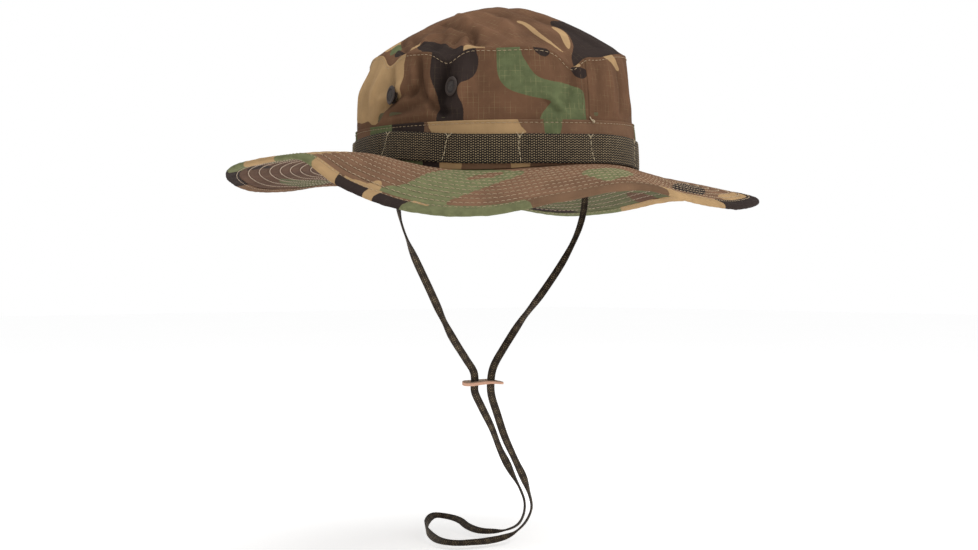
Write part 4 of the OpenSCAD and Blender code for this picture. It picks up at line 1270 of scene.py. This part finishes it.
def binding():
    i, o = UP1 + 0.12, UP1 + 0.6
    w = BW_EDGE
    # section from the top's inner edge, over the rim, to the under side's inner edge and back inside
    sec = [(w, i), (w - 0.15, i + 0.35), (w + 0.1, o - 0.05), (w + 0.7, o)]
    sec += [(x, o) for x in np.linspace(w + 1.3, BRIM - 2.4, 9)]
    th = np.linspace(math.pi / 2, -math.pi / 2, 15)[1:-1]
    sec += [(BRIM - 1.9 + 2.1 * math.cos(t), (o + 0.05) * math.sin(t)) for t in th]
    sec += [(x, -o) for x in np.linspace(BRIM - 2.4, w + 1.3, 9)]
    sec += [(w + 0.7, -o), (w + 0.1, -o + 0.05), (w - 0.15, -i - 0.35), (w, -i)]
    n_out = len(sec)
    sec += [(BRIM - 2.0, -i), (BRIM - 1.2, -0.5), (BRIM - 1.2, 0.5), (BRIM - 2.0, i)]
    sec = np.array(sec)
    C = 900
    A = np.arange(C) * 360 / C
    AA = np.broadcast_to(A[:, None], (C, len(sec)))
    Sx = np.broadcast_to(sec[None, :, 0], AA.shape).copy()
    Dz = np.broadcast_to(sec[None, :, 1], AA.shape).copy()
    P0 = brim(A, BRIM + 0 * A)
    n1 = noise(P0, 9, 61)[:, None]
    n2 = noise(P0, 3.5, 62)[:, None]
    out = np.zeros(len(sec))
    out[:n_out] = 1
    # puckered by its row of stitches
    for r in (w + 1.5,):
        Dz -= np.sign(Dz) * out * 0.3 * np.exp(-((Sx - r) / 0.7) ** 2)
    Dz += np.sign(Dz) * out * (0.14 * n1 + 0.12 * n2)
    Sx += out * (0.25 * n1 * smooth(sec[:, 0], w + 2, w)[None] + 0.15 * n2)
    X = brim(AA, Sx, Dz)
    L = np.concatenate([[0], np.cumsum(np.hypot(*np.diff(sec, axis=0).T))])
    t = np.broadcast_to(L[None], AA.shape)
    k = 3.0
    a2 = AA + 1.1 * np.sin(np.radians(AA * 9)) * (t - 7) / 7

    def iv(lst):
        r = np.full(AA.shape, -12.0)
        for lo, hi in lst:
            c, hw = (lo + hi) / 2, (hi - lo) / 2
            r = np.maximum(r, (hw - np.abs(turn(a2, c))) * k)
        return np.clip(r, -12, 12)
    under = smooth(t, 8.6, 9.4)
    gr = iv([(149.5, 165), (178, 189), (209.2, 234), (14, 44), (338, 346)])
    tn = iv([(165, 178), (189, 194.8), (201.2, 203.4), (262, 280), (350, 374)])
    bk = np.minimum(iv([(130, 149.5), (194.8, 201.2), (203.4, 209.2), (280, 330), (52, 62)]), np.where(np.abs(turn(AA, 202)) < 9, 2.2 * (t - 2.2), 12.0))
    rimt = np.minimum(iv([(196.0, 202.0)]), 2.4 - t)
    tn = np.maximum(tn, rimt)
    bk = np.minimum(bk, -rimt)
    tn = np.maximum(tn, np.minimum(iv([(209.6, 213.6)]), 1.1 - np.abs(t - 1.6 - 0.5 * turn(AA, 211))))
    at = np.stack([gr, tn, bk], -1)
    # lighter around the upper curve of the rolled rim, random tone, and painted shade at the inner edge tucked against
    # the brim
    painted_light_and_tone = 0.10 * np.exp(-((t - 8.5) / 2.2) ** 2) + 0.14 * n2 - 0.18 * np.exp(-((t - 0.4) / 0.6) ** 2)
    uvw = np.stack([AA * k, t, painted_light_and_tone], -1)
    m = len(sec)
    F = []
    c, r = np.meshgrid(np.arange(C), np.arange(m), indexing="ij")
    c1, r1 = (c + 1) % C, (r + 1) % m
    F = np.stack([c * m + r, c1 * m + r, c1 * m + r1, c * m + r1], -1).reshape(-1, 4)
    ob = build("binding", X.reshape(-1, 3), F, {"camo": at.reshape(-1, 3), "uvw": uvw.reshape(-1, 3)}, [M_EDGE])
    return ride_hat(ob, "brim_binding")


bind_ob = binding()


# ------------------------------------------------------------------ stitching
def normals_from(fn, a, b, eps=0.5, up=True):
    P = fn(a, b)
    da = fn(a + eps, b) - P
    db = fn(a, b + eps) - P
    N = np.cross(da, db)
    N /= np.linalg.norm(N, axis=-1, keepdims=True)
    return P, N


st_top, st_under = Stitches(), Stitches()
A = np.arange(0, 360, 0.5)
for i, r in enumerate(ROWS):
    rr = r + 0.25 * np.sin(np.radians(A * 5 + i * 40))
    P, N = normals_from(lambda a, s: brim(a, s, UP1 - 0.28), A, rr)
    N = np.where(N[:, 2:] < 0, -N, N)
    st_top.row(P, N, 3.4, 2.95, 0.50, 0.4, 0.16, True, seed=i)
    P, N = normals_from(lambda a, s: brim(a, s, -UP1 + 0.28), A, rr)
    N = np.where(N[:, 2:] > 0, -N, N)
    st_under.row(P, N, 3.4, 3.25, 0.52, 0.44, 0.22, True, seed=i + 20)
for j, r in enumerate((BW_EDGE + 1.5,)):
    for d, st in ((1, st_top), (-1, st_under)):
        P, N = normals_from(lambda a, s: brim(a, s, d * (UP1 + 0.6 - 0.28)), A, r + 0.1 * np.sin(np.radians(A * 7)))
        N = np.where(N[:, 2:] * d < 0, -N, N)
        st.row(P, N, 3.2, 2.3, 0.36, 0.3, 0.10, True, seed=40 + j)
ride_hat(st_top.make("stitch_brim_top", M_THREAD_T), None)
ride_hat(st_under.make("stitch_brim_under", M_THREAD_U), None)

st_c = Stitches()
# topstitch under the tip seam
zt = tip_z(A) - 1.9
P, N = normals_from(lambda a, z: crown(a, z, 0.02), A, zt)
out = P * [1, 1, 0]
N = np.where(np.sum(N * out, 1)[:, None] < 0, -N, N)
st_c.row(P, N, 3.2, 2.3, 0.36, 0.3, 0.08, True, seed=70)
# side seams
st_v = Stitches()
for c in (84, 262):
    for da in (-1.4,):
        z = np.arange(27, 68, 0.5)
        a = c + da + 0 * z
        z = z[z < tip_z(c + da) - 3]
        a = a[:len(z)]
        P, N = normals_from(lambda q, w: crown(q, w, 0.05), a, z)
        N = np.where(np.sum(N * P * [1, 1, 0], 1)[:, None] < 0, -N, N)
        st_v.row(P, N, 3.2, 2.2, 0.30, 0.24, 0.0, seed=71)
ride_hat(st_c.make("stitch_crown", M_THREAD), None)
ride_hat(st_v.make("stitch_seams", M_THREAD_B), None)
st_b = Stitches()
zb = band_z(A) - 1.8
P = crown(A, zb, GAP + BAND_T - 0.15, False)
x, y = foot(A, 1.0)
x0, y0 = foot(A)
N = np.stack([x - x0, y - y0, 0 * x], -1)
st_b.row(P, N, 3.2, 2.4, 0.34, 0.3, 0.08, True, seed=72)
ride_hat(st_b.make("stitch_band", M_THREAD), None)
st_s = Stitches()
for z_ in (3.0, 30.5):
    P = crown(A, seam_z(A) + z_, sw_off - 1.0 - 0.05, False)
    st_s.row(P, -N, 3.4, 2.5, 0.45, 0.36, 0.1, True, seed=73)
# label held along its top and bottom edges
for z_ in (9.2, 22.8):
    a = np.linspace(84.6, 101.4, 30)
    P = crown(a, z_ + 0 * a, sw_off - 1.45, False)
    xx, yy = foot(a, 1.0)
    x1, y1 = foot(a)
    st_s.row(P, -np.stack([xx - x1, yy - y1, 0 * a], -1), 2.6, 1.9, 0.35, 0.28, 0.08, seed=74)
ride_hat(st_s.make("stitch_sweat", M_THREAD_D), None)
# loose nub of thread at the front seam's foot
nub = Stitches()
t = np.linspace(0, 1, 14)
Pn = crown(264.4 + 1.0 * np.sin(t * 5), 24.6 + 1.2 * np.cos(t * 6) + 2.0 * t, 1.1 + 0.9 * np.sin(t * 3.1), False)
nub.tube(Pn, 0.28)
ride_hat(nub.make("thread_nub", M_THREAD_W), None)

# ------------------------------------------------------------------ vents
VENTS = [(207.5, 45.5), (179, 43), (332.5, 45.5), (1, 43)]


def vent_frame(va, vz):
    p = crown(np.array(va), np.array(vz), 0.0, True)
    nx, ny = math.cos(math.radians(va)) / HX, math.sin(math.radians(va)) / HY
    l = math.hypot(nx, ny)
    n = np.array([nx / l, ny / l, 0])
    b = math.radians(5)
    n = n * math.cos(b) + np.array([0, 0, math.sin(b)])
    w = math.radians(VENT_TURN[va])
    n = np.array([n[0] * math.cos(w) - n[1] * math.sin(w), n[0] * math.sin(w) + n[1] * math.cos(w), n[2]])
    p = p + n * 0.85
    s = np.cross([0, 0, 1], n)
    s /= np.linalg.norm(s)
    u = np.cross(n, s)
    return p, s, u, n


def revolve(prof, seg=64):
    prof = np.asarray(prof, float)
    th = np.arange(seg) * 2 * math.pi / seg
    V = np.stack(np.broadcast_arrays(prof[None, :, 0] * np.cos(th)[:, None], prof[None, :, 0] * np.sin(th)[:, None], prof[None, :, 1] + 0 * th[:, None]), -1)
    m = len(prof)
    c, r = np.meshgrid(np.arange(seg), np.arange(m), indexing="ij")
    c1, r1 = (c + 1) % seg, (r + 1) % m
    F = np.stack([c * m + r, c1 * m + r, c1 * m + r1, c * m + r1], -1).reshape(-1, 4)
    return V.reshape(-1, 3), F


def placed(parts):
    V, F, H, n = [], [], [], 0
    for va, vz in VENTS:
        p, s, u, nn = vent_frame(va, vz)
        for v, f, h in parts:
            V.append(p + v[:, :1] * s + v[:, 1:2] * u + v[:, 2:] * nn)
            F.append(f + n)
            H.append(h)
            n += len(v)
    return np.concatenate(V), np.concatenate(F), np.concatenate(H)


ring_prof = [(3.55, -1.9), (3.55, 0.6), (3.75, 1.15), (4.2, 1.45), (4.75, 1.5), (5.3, 1.3), (5.7, 0.95), (5.85, 0.55), (5.75, 0.35), (4.2, 0.25), (4.1, -1.9)]
ring_prof = [(a * 1.03, b * 0.75) for a, b in ring_prof]
v, f = revolve(ring_prof)
rad = np.hypot(v[:, 0], v[:, 1])
# the ring's raised top is marked for the painted highlight colour
hh = smooth(v[:, 2], 1.0, 1.5) * 0.62
V, F, H = placed([(v, f, hh)])
ride_hat(build("vent_rings", V, F, {"height": H}, [M_VENT]), "vent_eyelets")
v, f = revolve([(4.3, -1.9), (4.3, -1.5), (5.2, -1.45), (5.3, -1.7), (5.2, -1.9)])
V, F, H = placed([(v, f, 0 * v[:, 0])])
ride_hat(build("vent_backs", V, F, {"height": H}, [M_VENT]), "vent_washers")


def screen():
    """Domed wire cloth inside a ring: two crossing sets of thin wires."""
    out = []
    R = 3.5
    w, n = 0.17, 13
    for d in (0, 1):
        for i in range(n):
            o = (i - (n - 1) / 2) * (2 * R / n)
            h = math.sqrt(max(R * R - o * o, 0.2))
            t = np.linspace(-h, h, 17)
            z = 0.55 + 0.55 * (1 - (t * t + o * o) / (R * R)) + 0.09 * np.cos(np.pi * (t / (2 * R / n) + i + d))
            P = np.stack([t, o + 0 * t, z], -1) if d == 0 else np.stack([o + 0 * t, t, z], -1)
            side = np.array([0, 1.0, 0]) if d == 0 else np.array([1.0, 0, 0])
            an = np.arange(5) * 2 * math.pi / 5
            ring = P[:, None] + side * (np.cos(an) * w)[None, :, None] + np.array([0, 0, 1.0]) * (np.sin(an) * w)[None, :, None]
            v = ring.reshape(-1, 3)
            r, j = np.meshgrid(np.arange(16), np.arange(5), indexing="ij")
            k = (j + 1) % 5
            f = np.stack([r * 5 + j, r * 5 + k, (r + 1) * 5 + k, (r + 1) * 5 + j], -1).reshape(-1, 4)
            out.append((v, f, np.full(len(v), 0.6)))
    # painted shade: a solid dark disc behind the wires stands in for the shaded inside seen through the screen
    v, f = revolve([(0.01, 0.75), (1.5, 0.62), (2.6, 0.35), (3.55, 0.0), (3.55, -0.25), (2.6, 0.1), (1.5, 0.35), (0.01, 0.5)], 32)
    out.append((v, f, np.full(len(v), 0.0)))
    return out


V, F, H = placed(screen())
ride_hat(build("vent_mesh", V, F, {"height": H}, [M_MESH]), "vent_screens")

# ------------------------------------------------------------------ strap anchors inside the sweatband
def anchor(name, sgn, node):
    C, R = 30, 36
    y = np.linspace(-7.4, 7.4, C)
    z = np.linspace(-4, 16, R)
    Y, Z = np.meshgrid(y, z)
    r = np.maximum(np.abs(Y) / 7.4, 0) ** 6 + (np.abs(Z - 6) / 10) ** 8
    puff = 0.12 * np.cos(Y * 2.1) * np.cos(Z * 1.9) - 0.25 * np.exp(-((np.abs(Y) - 5.6) / 0.6) ** 2) - 0.25 * np.exp(-((Z - 13.6) / 0.6) ** 2)
    xin, xout = 82.2 - puff * 0.6, 83.05 + 0 * Y
    O = np.stack([sgn * xin, Y, Z], -1)
    I = np.stack([sgn * xout, Y, Z], -1)
    ob = shell(name, O, I, False, {"uvw": np.stack([Y, Z, 0 * Y], -1)}, [M_OLIVE], flip=(sgn < 0))
    ride_hat(ob, node)
    st = Stitches()
    for pts in ([(-5.6, -2), (-5.6, 13.6)], [(5.6, -2), (5.6, 13.6)], [(-5.6, 13.6), (5.6, 13.6)], [(-5.6, -0.5), (5.6, 13.2)], [(5.6, -0.5), (-5.6, 13.2)]):
        t_ = np.linspace(0, 1, 30)[:, None]
        Q = np.array(pts[0]) * (1 - t_) + np.array(pts[1]) * t_
        Pp = np.stack([np.full(30, sgn * 82.1), Q[:, 0], Q[:, 1]], -1)
        st.row(Pp, np.tile([-sgn, 0, 0], (30, 1)), 2.6, 2.0, 0.4, 0.34, 0.0, seed=90)
    ride_hat(st.make(name + "_stitch", M_THREAD_D), None)


anchor("anchor_left", -1, "strap_anchor_left")
anchor("anchor_right", 1, "strap_anchor_right")

# ------------------------------------------------------------------ stage
floor_mat = Mat("floor_pale", rough=0.9, spec=0.0)
fn_ = floor_mat.noise(3, 2)
floor_mat.color(floor_mat.mix(fn_, (0.88, 0.88, 0.88, 1), (0.91, 0.91, 0.91, 1)))
floor_mat.b.inputs["Emission Color"].default_value = (1, 1, 1, 1)
floor_mat.b.inputs["Emission Strength"].default_value = 0.52
bpy.ops.mesh.primitive_plane_add(size=12, location=(0, 0, -0.2465))
floor = bpy.context.object
floor.name = "floor"
floor.data.materials.append(floor_mat.m)

world = bpy.data.worlds.new("soft_world")
bpy.context.scene.world = world
world.use_nodes = True
wt = world.node_tree
bg = wt.nodes["Background"]
tc = wt.nodes.new("ShaderNodeTexCoord")
sp = wt.nodes.new("ShaderNodeSeparateXYZ")
mr = wt.nodes.new("ShaderNodeMapRange")
wt.links.new(tc.outputs["Generated"], sp.inputs[0])
wt.links.new(sp.outputs[2], mr.inputs["Value"])
mr.inputs["From Min"].default_value = 0.17
mr.inputs["From Max"].default_value = 0.5
mr.inputs["To Min"].default_value = 1.0
mr.inputs["To Max"].default_value = 0.45
wt.links.new(mr.outputs["Result"], bg.inputs["Strength"])
bg.inputs["Color"].default_value = (1, 1, 1, 1)


def area(name, loc, target, size, power):
    d = bpy.data.lights.new(name, "AREA")
    d.shape = "DISK"
    d.size = size
    d.energy = power
    o = bpy.data.objects.new(name, d)
    COL.objects.link(o)
    o.location = loc
    o.rotation_euler = (Vector(target) - Vector(loc)).to_track_quat("-Z", "Y").to_euler()
    return o


def spot(r, b, z):
    p = RIGHT * r + BACK * b
    return (p[0], p[1], z)


area("key", spot(0.75, 0.6, 0.95), (0, 0, 0), 0.5, 8)
area("top", spot(-0.2, -0.1, 1.3), (0, 0, 0), 0.8, 5)
bpy.context.scene.view_settings.view_transform = "Standard"
